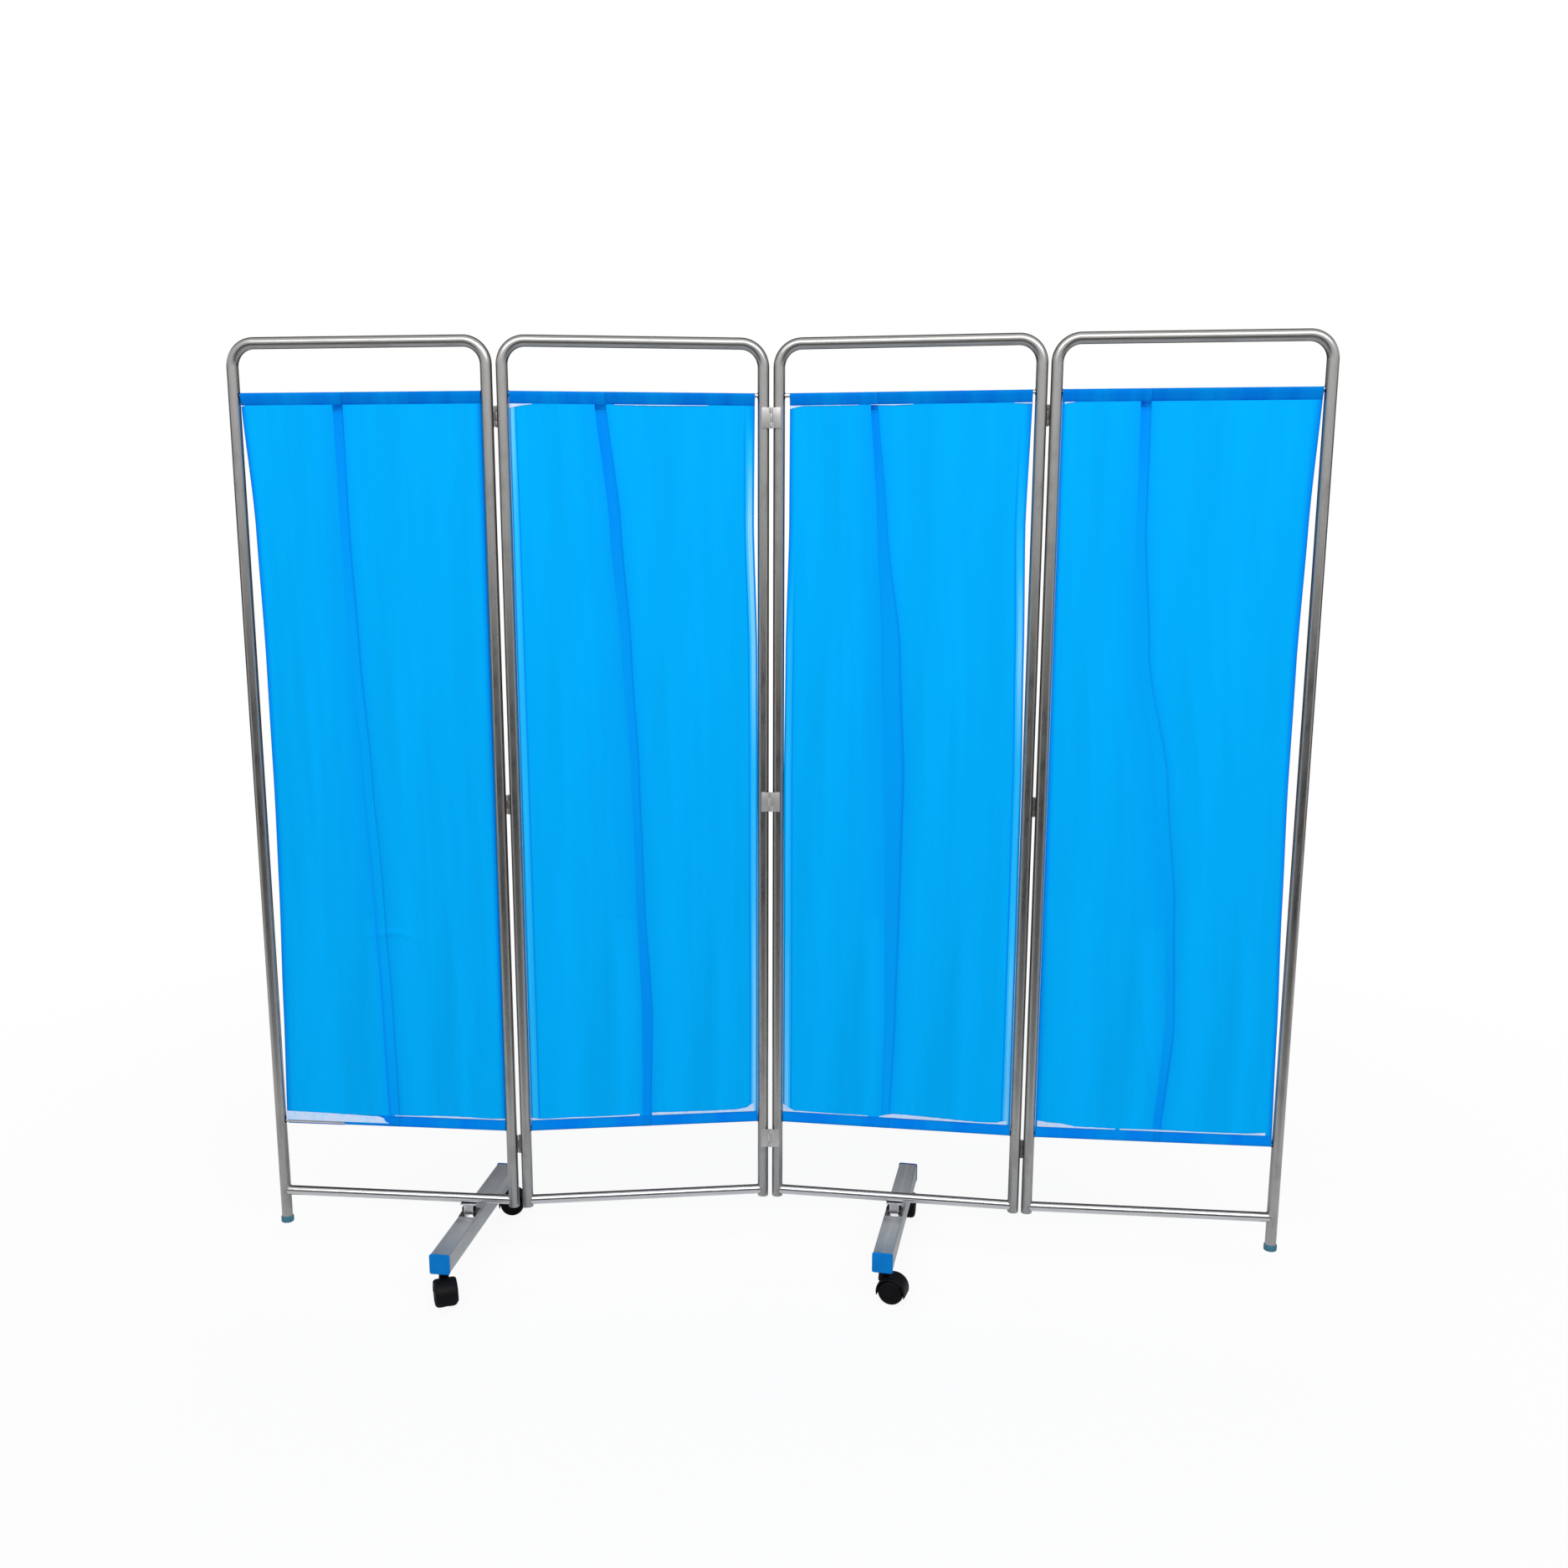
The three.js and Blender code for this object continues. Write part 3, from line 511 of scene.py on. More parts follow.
def step_edges(bm, edges, shift=None, scale=None, about=None):
    """Extrudes open edges, moves or scales the new ones, and gives the new edges back."""
    made = bmesh.ops.extrude_edge_only(bm, edges=edges)["geom"]
    verts = [item for item in made if isinstance(item, bmesh.types.BMVert)]
    fresh = set(verts)
    if shift is not None:
        bmesh.ops.translate(bm, vec=shift, verts=verts)
    if scale is not None:
        space = Matrix.Translation(-Vector(about))
        bmesh.ops.scale(bm, vec=scale, verts=verts, space=space)
    return [item for item in made if isinstance(item, bmesh.types.BMEdge) and set(item.verts) <= fresh]


def open_leg_end(bm, edges, centre, sizes):
    """Closes a tube's end as a hollow: the cut rim, the bore wall and a floor deep inside."""
    share = (sizes.tube_diameter - 2 * sizes.tube_wall) / sizes.tube_diameter
    rim = step_edges(bm, edges, scale=(share, share, 1), about=centre)
    deep = step_edges(bm, rim, shift=(0, 0, sizes.bore_depth))
    bmesh.ops.edgeloop_fill(bm, edges=deep)


def wrap_uv(bm, radius, place):
    """A UV map round a tube: place gives a point's turn about it and distance along it."""
    layer = bm.loops.layers.uv.verify()
    for face in bm.faces:
        middle = place(face.calc_center_median())[0]
        for loop in face.loops:
            turn, along = place(loop.vert.co)
            if turn - middle > math.pi:
                turn -= math.tau
            elif middle - turn > math.pi:
                turn += math.tau
            loop[layer].uv = (turn * radius, along)


def strip_uv(bm, axis):
    """A UV map for straight stock: V runs along the axis, U across each face."""
    layer = bm.loops.layers.uv.verify()
    axis = Vector(axis)
    for face in bm.faces:
        across = face.normal.cross(axis)
        if across.length < 0.3:
            across = face.normal.orthogonal()
        across.normalize()
        for loop in face.loops:
            loop[layer].uv = (loop.vert.co.dot(across), loop.vert.co.dot(axis))


def ring_on_leg(bm, side, height, bar_radius, bead, sizes, ripple=0.0, flat=1.0):
    """A bead or collar round a bar along X, where the bar meets the inner side of a leg."""
    leg, tube = sizes.leg_place, sizes.tube_diameter / 2
    bead_sides, ring_steps, ripple_scale = 10, 40, 900
    circle = bmesh.ops.create_circle(bm, cap_ends=False, segments=bead_sides, radius=bead)["verts"]
    bmesh.ops.scale(bm, vec=(flat, 1, 1), verts=circle)
    bmesh.ops.rotate(bm, matrix=Matrix.Rotation(math.pi / 2, 3, "X"), verts=circle, cent=(0, 0, 0))
    bmesh.ops.translate(bm, vec=(0, 0, bar_radius), verts=circle)
    bmesh.ops.spin(
        bm, geom=circle + edges_of(circle), cent=(0, 0, 0), axis=(1, 0, 0), angle=math.tau,
        steps=ring_steps, use_merge=True,
    )
    found = linked(circle)
    for vert in found:
        inward = math.sqrt(max(tube * tube - vert.co.y ** 2, 0.0))
        wobble = ripple * noise.noise(vert.co * ripple_scale)
        vert.co.x += side * (leg - inward) + wobble
        vert.co.z += height + wobble
    bmesh.ops.recalc_face_normals(bm, faces=list({face for vert in found for face in vert.link_faces}))


# Settings

def length_setting(name, description, default):
    return FloatProperty(name=name, description=description, default=default, unit="LENGTH", precision=5)


def color_setting(name, description, default):
    return FloatVectorProperty(
        name=name, description=description, default=default, subtype="COLOR", size=3, min=0, max=1
    )


rod_left, rod_right = rod_ends("panel_1_top_rod")
rod_reach = (rod_right - rod_left).length / 2
rod_let_in = 6.45 * mm


class WardSizes(bpy.types.PropertyGroup):
    """Sizes of the fine pieces, in metres"""
    tube_diameter: length_setting("Tube", "Outer diameter of the frame tube", 21.3 * mm)
    tube_wall: length_setting("Tube wall", "Wall of the frame tube", 1.2 * mm)
    bore_depth: length_setting("Bore depth", "How far up an open leg the bore is modelled", 60 * mm)
    bend_radius: length_setting("Bend", "Centreline radius of the hoop's bends", 42 * mm)
    leg_place: length_setting("Leg place", "Leg axis from the panel's middle", rod_reach + rod_let_in)
    rail_diameter: length_setting("Rail", "Diameter of the cross rails", 19 * mm)
    rod_diameter: length_setting("Rod", "Diameter of the curtain rods", 7 * mm)
    weld_bead: length_setting("Weld bead", "Radius of a weld bead", 1.1 * mm)
    grommet: length_setting("Grommet", "Thickness of the black rings at the rods' ends", 2.2 * mm)
    cloth: length_setting("Cloth", "Thickness of the curtain cloth", 0.5 * mm)
    thread: length_setting("Thread", "Pitch of the cloth's threads", 0.7 * mm)
    pocket: length_setting("Pocket", "Depth of a rod pocket from the rod's axis to its seam", 18 * mm)
    column: length_setting("Column", "Width of a column of the cloth mesh", 3.5 * mm)
    row: length_setting("Row", "Height of a row of the cloth mesh", 5 * mm)
    knuckle: length_setting("Knuckle", "Diameter of a hinge knuckle", 6.4 * mm)
    hinge_pin: length_setting("Hinge pin", "Diameter of a hinge pin", 3 * mm)
    bar_wall: length_setting("Bar wall", "Wall of the square base bars", 1.5 * mm)
    cap_head: length_setting("Cap head", "Thickness of a cap's head, outside the bar", 4 * mm)
    castor_hood: length_setting("Castor hood", "Outer radius of a castor's hood", 29 * mm)
    hood_wall: length_setting("Hood wall", "Wall of a castor's hood", 2.4 * mm)
    web: length_setting("Castor web", "Thickness of the web between the wheels", 4.4 * mm)
    wheel_radius: length_setting("Wheel", "Radius of a castor wheel", 25 * mm)
    collar: length_setting("Collar", "Height of the steel collar under a base bar", 5 * mm)


class WardLooks(bpy.types.PropertyGroup):
    """Colours of the finishes"""
    tube: color_setting("Tube", "Satin stainless of the hoops", shade(158, 157, 155))
    bright: color_setting("Bright steel", "Polished rods and rails", shade(196, 196, 198))
    bar: color_setting("Bar", "Brushed square bars", shade(174, 176, 177))
    hinge: color_setting("Hinge", "Brushed hinge leaves", shade(178, 176, 175))
    cloth: color_setting("Cloth", "Single cloth", shade(0, 163, 236))
    hem: color_setting("Hem", "Bright strip of the side hems", shade(44, 184, 246))
    pale: color_setting("Pale hem", "Palest part of the side hems", shade(140, 206, 246))
    double: color_setting("Double cloth", "Where two widths lap", shade(0, 126, 232))
    pocket: color_setting("Pocket", "Where the cloth lies three or four deep", shade(0, 104, 198))
    # Painted shade at the head of a lap, under the top pocket
    shade_under_pocket: color_setting("Deepest cloth", "Head of a lap, under the top pocket", shade(0, 58, 168))
    # Painted sheen along the pockets, laid as a pale strip
    sheen_strip: color_setting("Tape", "Seam tape along the pockets", shade(190, 207, 232))
    cap: color_setting("Cap", "Blue end caps", shade(0, 116, 194))
    foot: color_setting("Foot", "Teal rubber feet", shade(66, 112, 133))
    black: color_setting("Black", "Castors and grommets", shade(15, 15, 17))
    bolt: color_setting("Bolt", "Cross bolts of the base", shade(46, 46, 50))


# Frame tubes, rails and rods

class WARD_OT_hoops(bpy.types.Operator):
    """Bends the four frame tubes, hollow at their open leg ends"""
    bl_idname = "ward.hoops"
    bl_label = "Frame tubes"
    tube_sides = 48
    bend_steps = 28

    def execute(self, context):
        finish = finish_called("satin_steel", context)
        for number in panel_numbers:
            make_piece(
                f"frame_tube_{number}", self.bend_tube(number, sizes_of(context)), panel_matrix(number),
                finish, f"panel_{number}", [f"panel_{number}_hoop"],
            )
        return {"FINISHED"}

    def bend_tube(self, number, sizes):
        leg, bend, radius = sizes.leg_place, sizes.bend_radius, sizes.tube_diameter / 2
        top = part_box(f"panel_{number}_hoop")[1].z - radius
        corner_x, corner_z = leg - bend, top - bend
        left_end, right_end = leg_ends(number)
        bm = bmesh.new()
        bmesh.ops.create_circle(bm, cap_ends=False, segments=self.tube_sides, radius=radius)
        bmesh.ops.translate(bm, vec=(-leg, 0, left_end), verts=bm.verts)
        first = list(bm.edges)
        line = step_edges(bm, first, shift=(0, 0, corner_z - left_end))
        line = self.quarter_bend(bm, line, (-corner_x, 0, corner_z))
        line = step_edges(bm, line, shift=(2 * corner_x, 0, 0))
        line = self.quarter_bend(bm, line, (corner_x, 0, corner_z))
        line = step_edges(bm, line, shift=(0, 0, right_end - corner_z))
        open_leg_end(bm, first, (-leg, 0, left_end), sizes)
        open_leg_end(bm, line, (leg, 0, right_end), sizes)
        bmesh.ops.recalc_face_normals(bm, faces=bm.faces)

        def place(point):
            """A point's turn round the tube, and how far along the tube it lies from the middle."""
            across, up = abs(point.x), point.z
            quarter = bend * math.pi / 2
            if up < corner_z:
                along, out = corner_x + quarter + corner_z - up, across - leg
            elif across < corner_x:
                along, out = across, up - top
            else:
                turn = math.atan2(up - corner_z, across - corner_x)
                along = corner_x + (math.pi / 2 - turn) * bend
                out = math.hypot(up - corner_z, across - corner_x) - bend
            return math.atan2(point.y, out), math.copysign(along, point.x)

        wrap_uv(bm, radius, place)
        return bm

    def quarter_bend(self, bm, edges, centre):
        """Spins open edges through a quarter turn over a corner and gives the last ones back."""
        geom = edges + list({vert for edge in edges for vert in edge.verts})
        made = bmesh.ops.spin(
            bm, geom=geom, cent=centre, axis=(0, 1, 0), angle=math.pi / 2, steps=self.bend_steps
        )["geom_last"]
        return [item for item in made if isinstance(item, bmesh.types.BMEdge)]


def round_bar_piece(name, node, number, radius, finish):
    """A straight bright bar along a panel, in place of its node."""
    matrix = panel_matrix(number)
    low, high = own_box(node, matrix)
    height = (low.z + high.z) / 2
    bm = bmesh.new()
    bar_between(bm, (low.x, 0, height), (high.x, 0, height), radius, segments=36)
    wrap_uv(bm, radius, lambda point: (math.atan2(point.z - height, point.y), point.x))
    make_piece(name, bm, matrix, finish, f"panel_{number}", [node])


def ring_pair(height, bar_radius, bead, sizes, **shape):
    """A bead or collar at both ends of a bar between a panel's legs."""
    bm = bmesh.new()
    for side in (-1, 1):
        ring_on_leg(bm, side, height, bar_radius, bead, sizes, **shape)
    return bm


class WARD_OT_rails(bpy.types.Operator):
    """Sets the cross rails between the legs, with a weld bead round each end"""
    bl_idname = "ward.rails"
    bl_label = "Cross rails"
    ripple = 0.3 * mm

    def execute(self, context):
        sizes = sizes_of(context)
        finish, weld = finish_called("bright_steel", context), finish_called("weld_steel", context)
        radius = sizes.rail_diameter / 2
        for number in panel_numbers:
            node, matrix = f"panel_{number}_cross_rail", panel_matrix(number)
            round_bar_piece(f"foot_rail_{number}", node, number, radius, finish)
            low, high = own_box(node, matrix)
            height = (low.z + high.z) / 2
            beads = ring_pair(height, radius, sizes.weld_bead, sizes, ripple=self.ripple)
            make_piece(
                f"rail_welds_{number}", beads, matrix, weld, f"panel_{number}", sharp_deg=60
            )
        return {"FINISHED"}


class WARD_OT_rods(bpy.types.Operator):
    """Lets the curtain rods into the legs, with a black grommet round each end"""
    bl_idname = "ward.rods"
    bl_label = "Curtain rods"

    def execute(self, context):
        sizes = sizes_of(context)
        finish, black = finish_called("bright_steel", context), finish_called("black_plastic", context)
        radius, half_ring = sizes.rod_diameter / 2, sizes.grommet / 2
        for number in panel_numbers:
            for place in ("top", "bottom"):
                node = f"panel_{number}_{place}_rod"
                round_bar_piece(f"{place}_curtain_rod_{number}", node, number, radius, finish)
                height = node_centre(node).z
                rings = ring_pair(height, radius + half_ring, half_ring, sizes, flat=0.7)
                make_piece(
                    f"{place}_grommets_{number}", rings, panel_matrix(number), black,
                    f"panel_{number}", sharp_deg=60,
                )
        return {"FINISHED"}


# Curtains

# How each curtain hangs, as shares of the clear width between its legs. The rows of edges
# and of the lap go from the foot of the curtain to its head.
curtain_shares = {
    1: {
        "left": [0.004, 0.018, 0.03, 0.036, 0.038, 0.03, 0.001],
        "right": [1.0] * 7,
        "lap": [0.475, 0.467, 0.452, 0.428, 0.405, 0.39, 0.385],
        "lap_end": [0.522, 0.514, 0.498, 0.472, 0.446, 0.428, 0.425],
        "bare_rod": 0.265, "phase": 0.1,
    },
    2: {
        "left": [0.0] * 7,
        "right": [1.0, 1.0, 1.0, 1.0, 0.999, 0.985, 0.989],
        "lap": [0.488, 0.492, 0.475, 0.462, 0.43, 0.39, 0.337],
        "lap_end": [0.525, 0.537, 0.51, 0.497, 0.472, 0.437, 0.381],
        "bare_rod": 0.0, "phase": 0.45,
    },
    3: {
        "left": [0.0, 0.0, 0.0, 0.0, 0.006, 0.019, 0.02],
        "right": [1.0, 1.0, 1.0, 0.999, 0.991, 0.98, 0.992],
        "lap": [0.438, 0.448, 0.437, 0.424, 0.41, 0.382, 0.347],
        "lap_end": [0.473, 0.492, 0.502, 0.51, 0.486, 0.422, 0.375],
        "bare_rod": 0.0, "phase": 0.7,
    },
    4: {
        "left": [0.0] * 7,
        "right": [0.999, 0.99, 0.975, 0.965, 0.965, 0.977, 0.997],
        "lap": [0.496, 0.526, 0.502, 0.44, 0.345, 0.308, 0.304],
        "lap_end": [0.53, 0.565, 0.54, 0.485, 0.385, 0.348, 0.345],
        "bare_rod": 0.0, "phase": 0.25,
    },
}

# How deep the blue of a lap is from foot to head, as double cloth with painted fold shadow: at its left
# edge, in its band, at its right edge.
lap_tones = {
    1: (
        [0.6, 0.5, 0.42, 0.36, 0.26, 0.3, 0.5],
        [0.24, 0.14, 0.08, 0.12, 0.18, 0.3, 0.48],
        [0.0, 0.0, 0.0, 0.16, 0.42, 0.5, 0.56],
    ),
    2: (
        [0.56, 0.54, 0.42, 0.34, 0.3, 0.46, 0.6],
        [0.42, 0.48, 0.38, 0.3, 0.3, 0.46, 0.56],
        [0.66, 0.62, 0.5, 0.46, 0.4, 0.42, 0.56],
    ),
    3: (
        [0.48, 0.42, 0.32, 0.3, 0.36, 0.46, 0.6],
        [0.2, 0.24, 0.26, 0.24, 0.22, 0.34, 0.56],
        [0.42, 0.48, 0.52, 0.52, 0.46, 0.42, 0.56],
    ),
    4: (
        [0.56, 0.3, 0.12, 0.06, 0.18, 0.26, 0.56],
        [0.44, 0.26, 0.16, 0.06, 0.14, 0.24, 0.5],
        [0.62, 0.54, 0.48, 0.2, 0.3, 0.5, 0.6],
    ),
}

# How much the strip outside a side hem's stitch line shows bright, from foot to head.
bright_hems = {
    (2, "left"): [1.0, 1.0, 0.8, 0.8, 0.8, 1.0, 1.6],
    (2, "right"): [1.8, 1.6, 1.1, 1.0, 1.7, 1.9, 0.0],
    (3, "left"): [1.8, 1.4, 0.8, 0.8, 0.7, 0.0, 0.0],
    (3, "right"): [1.8, 1.4, 0.8, 0.9, 1.8, 0.6, 0.0],
}

# Pale strips of painted sheen along the pockets: which seam, and (share of the clear width, height
# in millimetres) where its height changes.
sheen_strip_runs = {
    1: [
        ("bare", [(0.005, 17.5), (0.12, 16.5), (0.3, 14.5), (0.43, 12.5), (0.475, 4)]),
        ("low", [(0.5, 1.6), (0.6, 2), (0.7, 3.6), (0.84, 3.4), (0.94, 1.8), (0.998, 3.5)]),
        ("high", [(0.002, 3), (0.012, 1.2), (0.02, 0.6)]),
    ],
    2: [
        ("low", [(0.002, 5), (0.05, 1.6), (0.18, 2.6), (0.3, 2), (0.42, 2.4), (0.475, 4.4)]),
        ("low", [(0.53, 6), (0.62, 5.2), (0.78, 4.4), (0.9, 5), (0.95, 8), (0.97, 15), (0.985, 17)]),
        ("high", [(0.002, 8), (0.04, 4), (0.09, 0.8)]),
        ("high", [(0.42, 0.8), (0.6, 1.6), (0.8, 0.8)]),
    ],
    3: [
        ("low", [(0.002, 16), (0.025, 9), (0.05, 2.6), (0.2, 1.8), (0.38, 1.6)]),
        ("low", [
            (0.43, 2), (0.485, 8), (0.5, 8.4), (0.62, 7), (0.74, 4.4), (0.86, 2), (0.94, 3), (0.985, 9),
        ]),
        ("high", [(0.02, 6), (0.05, 3), (0.07, 0.8), (0.3, 0.8)]),
        ("high", [(0.35, 0.8), (0.44, 2), (0.52, 0.8)]),
        ("high", [(0.92, 0.8), (0.97, 2), (0.995, 2.4)]),
    ],
    4: [
        ("low", [(0.008, 13), (0.05, 10), (0.11, 8.4), (0.17, 3), (0.34, 2)]),
        ("low", [(0.36, 2.4), (0.5, 3.2), (0.72, 2.2), (0.9, 3), (0.97, 6)]),
        ("high", [(0.01, 3.6), (0.03, 1.4), (0.05, 0.6)]),
    ],
}


def along_shares(shares, up):
    """A value read at a share of the height, eased between the rows of a list of shares."""
    place = min(max(up, 0.0), 1.0) * (len(shares) - 1)
    low = min(int(place), len(shares) - 2)
    part = place - low
    part = part * part * (3 - 2 * part) * 0.5 + part * 0.5
    return shares[low] + (shares[low + 1] - shares[low]) * part


def bump_at(value, centre, width):
    """A smooth bump, 1 at its centre."""
    return math.exp(-(((value - centre) / width) ** 2))


# One row of the cloth mesh: Y, Z, depth of fold 0 to 1, distance run, and part of the curtain
ClothRow = namedtuple("ClothRow", "out height fold run part")


class ClothWidth:
    """How one of a curtain's two widths of cloth is divided into columns, from left to right."""
    least_lap_columns = 6

    def __init__(self, cloth, side):
        self.side = side
        self.marks = ("left", "lap", "lap_end") if side == "left" else ("lap", "lap_end", "right")
        middle = (cloth.top + cloth.bottom) / 2
        edges = [cloth.edge(mark, middle) for mark in self.marks]
        spans = [end - start for start, end in zip(edges, edges[1:])]
        counts = [round(span / cloth.sizes.column) for span in spans]
        lap = 1 if side == "left" else 0
        counts[lap] = max(self.least_lap_columns, counts[lap])
        self.flat = sum(spans)
        self.columns = sum(counts)
        self.lap_columns = counts[lap]
        self.split = counts[0]

    def lapped(self, column):
        """Whether a column lies in the lap of the two widths."""
        return (column < self.split) == (self.side == "right")

    def place(self, edges, column):
        """X of a column, between the three marked edges of the width."""
        first, seam, last = edges
        if column < self.split:
            return first + (seam - first) * column / self.split
        return seam + (last - seam) * (column - self.split) / (self.columns - self.split)


class CurtainCloth:
    """The form of one panel's curtain: where its cloth hangs, width by width."""
    turn_steps = 10
    pocket_steps = 6
    leg_gap = 0.35 * mm
    rod_gap = 0.35 * mm
    # How far above a bare rod its strip of painted sheen starts
    bare_sheen_strip_up = 3.2 * mm

    # How far each width stands off the middle of the lap, at its front and over the rods
    front_step = {"left": -0.75 * mm, "right": 0.35 * mm}
    back_step = {"left": 0.35 * mm, "right": -0.1 * mm}
    lap_ease = 12 * mm

    # Heights of the folds, and their noise scales along X, along the height and from panel to panel
    narrow_fold = 1.3 * mm
    broad_fold = 2 * mm
    wander, wander_scales = 3.4 * mm, (16, 1.6, 7.3)
    pull, pull_scales = 1.3 * mm, (55, 3.4, 3.1)
    gather, gather_scales = 1.1 * mm, (110, 7, 1.7)
    gather_reach = 50 * mm
    gather_start = 6 * mm

    # Tones: of the pockets, along a top seam, of the painted shade in a blotch below it, and of the painted
    # fold shadow beside a lap
    top_pocket_tone = {"left": 0.9, "right": 1.0}
    low_pocket_tone = 0.72
    low_lap_tone = 0.84
    seam_tone, seam_reach = 0.3, 3 * mm
    blotch_tone, blotch_drop, blotch_reach = 1.6, 4 * mm, 8.5 * mm
    lap_shade, wide_shade_reach, shade_reach = 0.16, 36 * mm, 9 * mm

    def __init__(self, number, sizes):
        self.number = number
        self.sizes = sizes
        self.shares = curtain_shares[number]
        self.matrix = panel_matrix(number)
        self.top = node_centre(f"panel_{number}_top_rod").z
        self.bottom = node_centre(f"panel_{number}_bottom_rod").z
        self.top_seam = self.top - sizes.pocket
        self.low_seam = self.bottom + sizes.pocket
        self.half_clear = sizes.leg_place - sizes.tube_diameter / 2 - self.leg_gap
        self.turn_radius = sizes.rod_diameter / 2 + sizes.cloth / 2 + self.rod_gap
        self.rows = self.path()
        self.low_turn = [index for index, row in enumerate(self.rows) if row.part == "low_turn"]

    def pocket_side(self, rod, way, back):
        """One side of a pocket from its seam to the rod's level, as (Y, Z)."""
        rows = []
        for step in range(self.pocket_steps + 1):
            part = step / self.pocket_steps
            lift = part * part * (3 - 2 * part)
            out = -self.turn_radius * lift
            if back:
                out = self.turn_radius * lift + self.sizes.cloth * (1 - lift)
            rows.append((out, rod + way * self.sizes.pocket * (1 - part)))
        return rows

    def turn(self, rod, start_deg):
        """The half turn over or under a rod, as (Y, Z)."""
        return arc((0, rod), self.turn_radius, start_deg, start_deg + 180, self.turn_steps)[1:-1]

    def path(self):
        """The cloth's way from the back of the top pocket over both rods to the back of the other."""
        spots = [(*spot, 0.0, "back") for spot in self.pocket_side(self.top, -1, back=True)]
        spots += [(*spot, 0.0, "turn") for spot in self.turn(self.top, 0)]
        spots += [(*spot, 0.0, "front") for spot in reversed(self.pocket_side(self.top, -1, back=False))]
        fall = self.top_seam - self.low_seam
        count = max(2, round(fall / self.sizes.row))
        for step in range(1, count):
            height = self.top_seam - fall * step / count
            spots.append((0.0, height, self.fold_depth(height), "main"))
        spots += [(*spot, 0.0, "low_front") for spot in self.pocket_side(self.bottom, 1, back=False)]
        spots += [(*spot, 0.0, "low_turn") for spot in self.turn(self.bottom, 180)]
        spots += [(*spot, 0.0, "low_back") for spot in reversed(self.pocket_side(self.bottom, 1, back=True))]
        rows, run, last = [], 0.0, spots[0]
        for spot in spots:
            run += math.hypot(spot[0] - last[0], spot[1] - last[1])
            rows.append(ClothRow(*spot[:3], run, spot[3]))
            last = spot
        return rows

    def fold_depth(self, height):
        """How freely the cloth folds at a height: 0 at its seams, 1 halfway between them."""
        part = (self.top_seam - height) / (self.top_seam - self.low_seam)
        return math.sin(math.pi * min(max(part, 0.0), 1.0)) ** 0.5

    def up_share(self, height):
        """A height as a share of the curtain, from the foot of its cloth to the head."""
        low = self.bottom - self.turn_radius
        return (height - low) / (self.top - self.bottom + 2 * self.turn_radius)

    def across_share(self, x):
        """X as a share of the clear width between the legs."""
        return (x / self.half_clear + 1) / 2

    def from_share(self, share):
        """X at a share of the clear width between the legs."""
        return self.half_clear * (2 * share - 1)

    def edge(self, mark, height):
        """X of an edge or lap line at a height, in the panel's own frame."""
        return self.from_share(along_shares(self.shares[mark], self.up_share(height)))

    def ruffle(self, x, height, scales):
        """Smooth noise over the cloth, from -1 to 1."""
        across, up, panel = scales
        return noise.noise(Vector((x * across, height * up, self.number * panel)))

    def fold(self, x, height, depth):
        """How far the cloth stands off its plane: broad folds, fine pulls and seam gathers."""
        phase, across, up = self.shares["phase"], self.across_share(x), self.up_share(height)
        sway = phase + 0.25 * math.sin(up * 5 + phase * 9)
        free = self.narrow_fold * math.sin((across * 5 + sway) * math.tau)
        free += self.broad_fold * math.sin((across * 2 - phase + up / 2) * math.tau)
        free += self.wander * self.ruffle(x, height, self.wander_scales)
        free += self.pull * self.ruffle(x, height, self.pull_scales)
        to_seam = max(min(self.top_seam - height, height - self.low_seam), 0.0)
        held = math.exp(-to_seam / self.gather_reach) * min(1.0, to_seam / self.gather_start)
        return depth * free + held * self.gather * self.ruffle(x, height, self.gather_scales)

    def crease(self, x, height):
        if self.number == 1:
            return self.level_crease(x, height)
        return self.meeting_creases(x, height) if self.number == 4 else 0.0

    def level_crease(self, x, height):
        """A short level crease in the middle of the cloth."""
        start, length, depth = -22 * mm, 70 * mm, 2.6 * mm
        level, sag, half_height = 680 * mm, 6 * mm, 6 * mm
        run = (x - start) / length
        middle = level + sag * math.sin(run * 3)
        return -depth * bump_at(height, middle, half_height) * bump_at(run, 0.5, 0.62)

    def meeting_creases(self, x, height):
        """Two creases that come down from both sides and meet."""
        start, fall, depth = 620 * mm, 300 * mm, 2.2 * mm
        meeting, spread, left_half, right_half = 7 * mm, 50 * mm, 5 * mm, 6 * mm
        reach = min(max((start - height) / fall, 0.0), 1.0)
        apart = spread * (1 - reach)
        left = bump_at(x, meeting - apart, left_half)
        right = bump_at(x, meeting + apart * 0.7, right_half)
        return -depth * (left + right) * math.sin(math.pi * reach)

    def width_mesh(self, side):
        """The mesh of the left or the right width with its maps, and the width of its flat cloth."""
        width = ClothWidth(self, side)
        bm = bmesh.new()
        bmesh.ops.create_grid(bm, x_segments=width.columns, y_segments=len(self.rows) - 1, size=1)
        order = sorted(bm.verts, key=lambda vert: (-round(vert.co.y, 5), round(vert.co.x, 5)))
        spots = {}
        for index, vert in enumerate(order):
            row, column = divmod(index, width.columns + 1)
            vert.co = self.hang(width, row, column)
            spots[vert] = (row, column, width.flat * column / width.columns, self.rows[row].run)
        self.write_maps(bm, spots, width)
        return bm, sum(face.calc_area() for face in bm.faces) / self.rows[-1].run

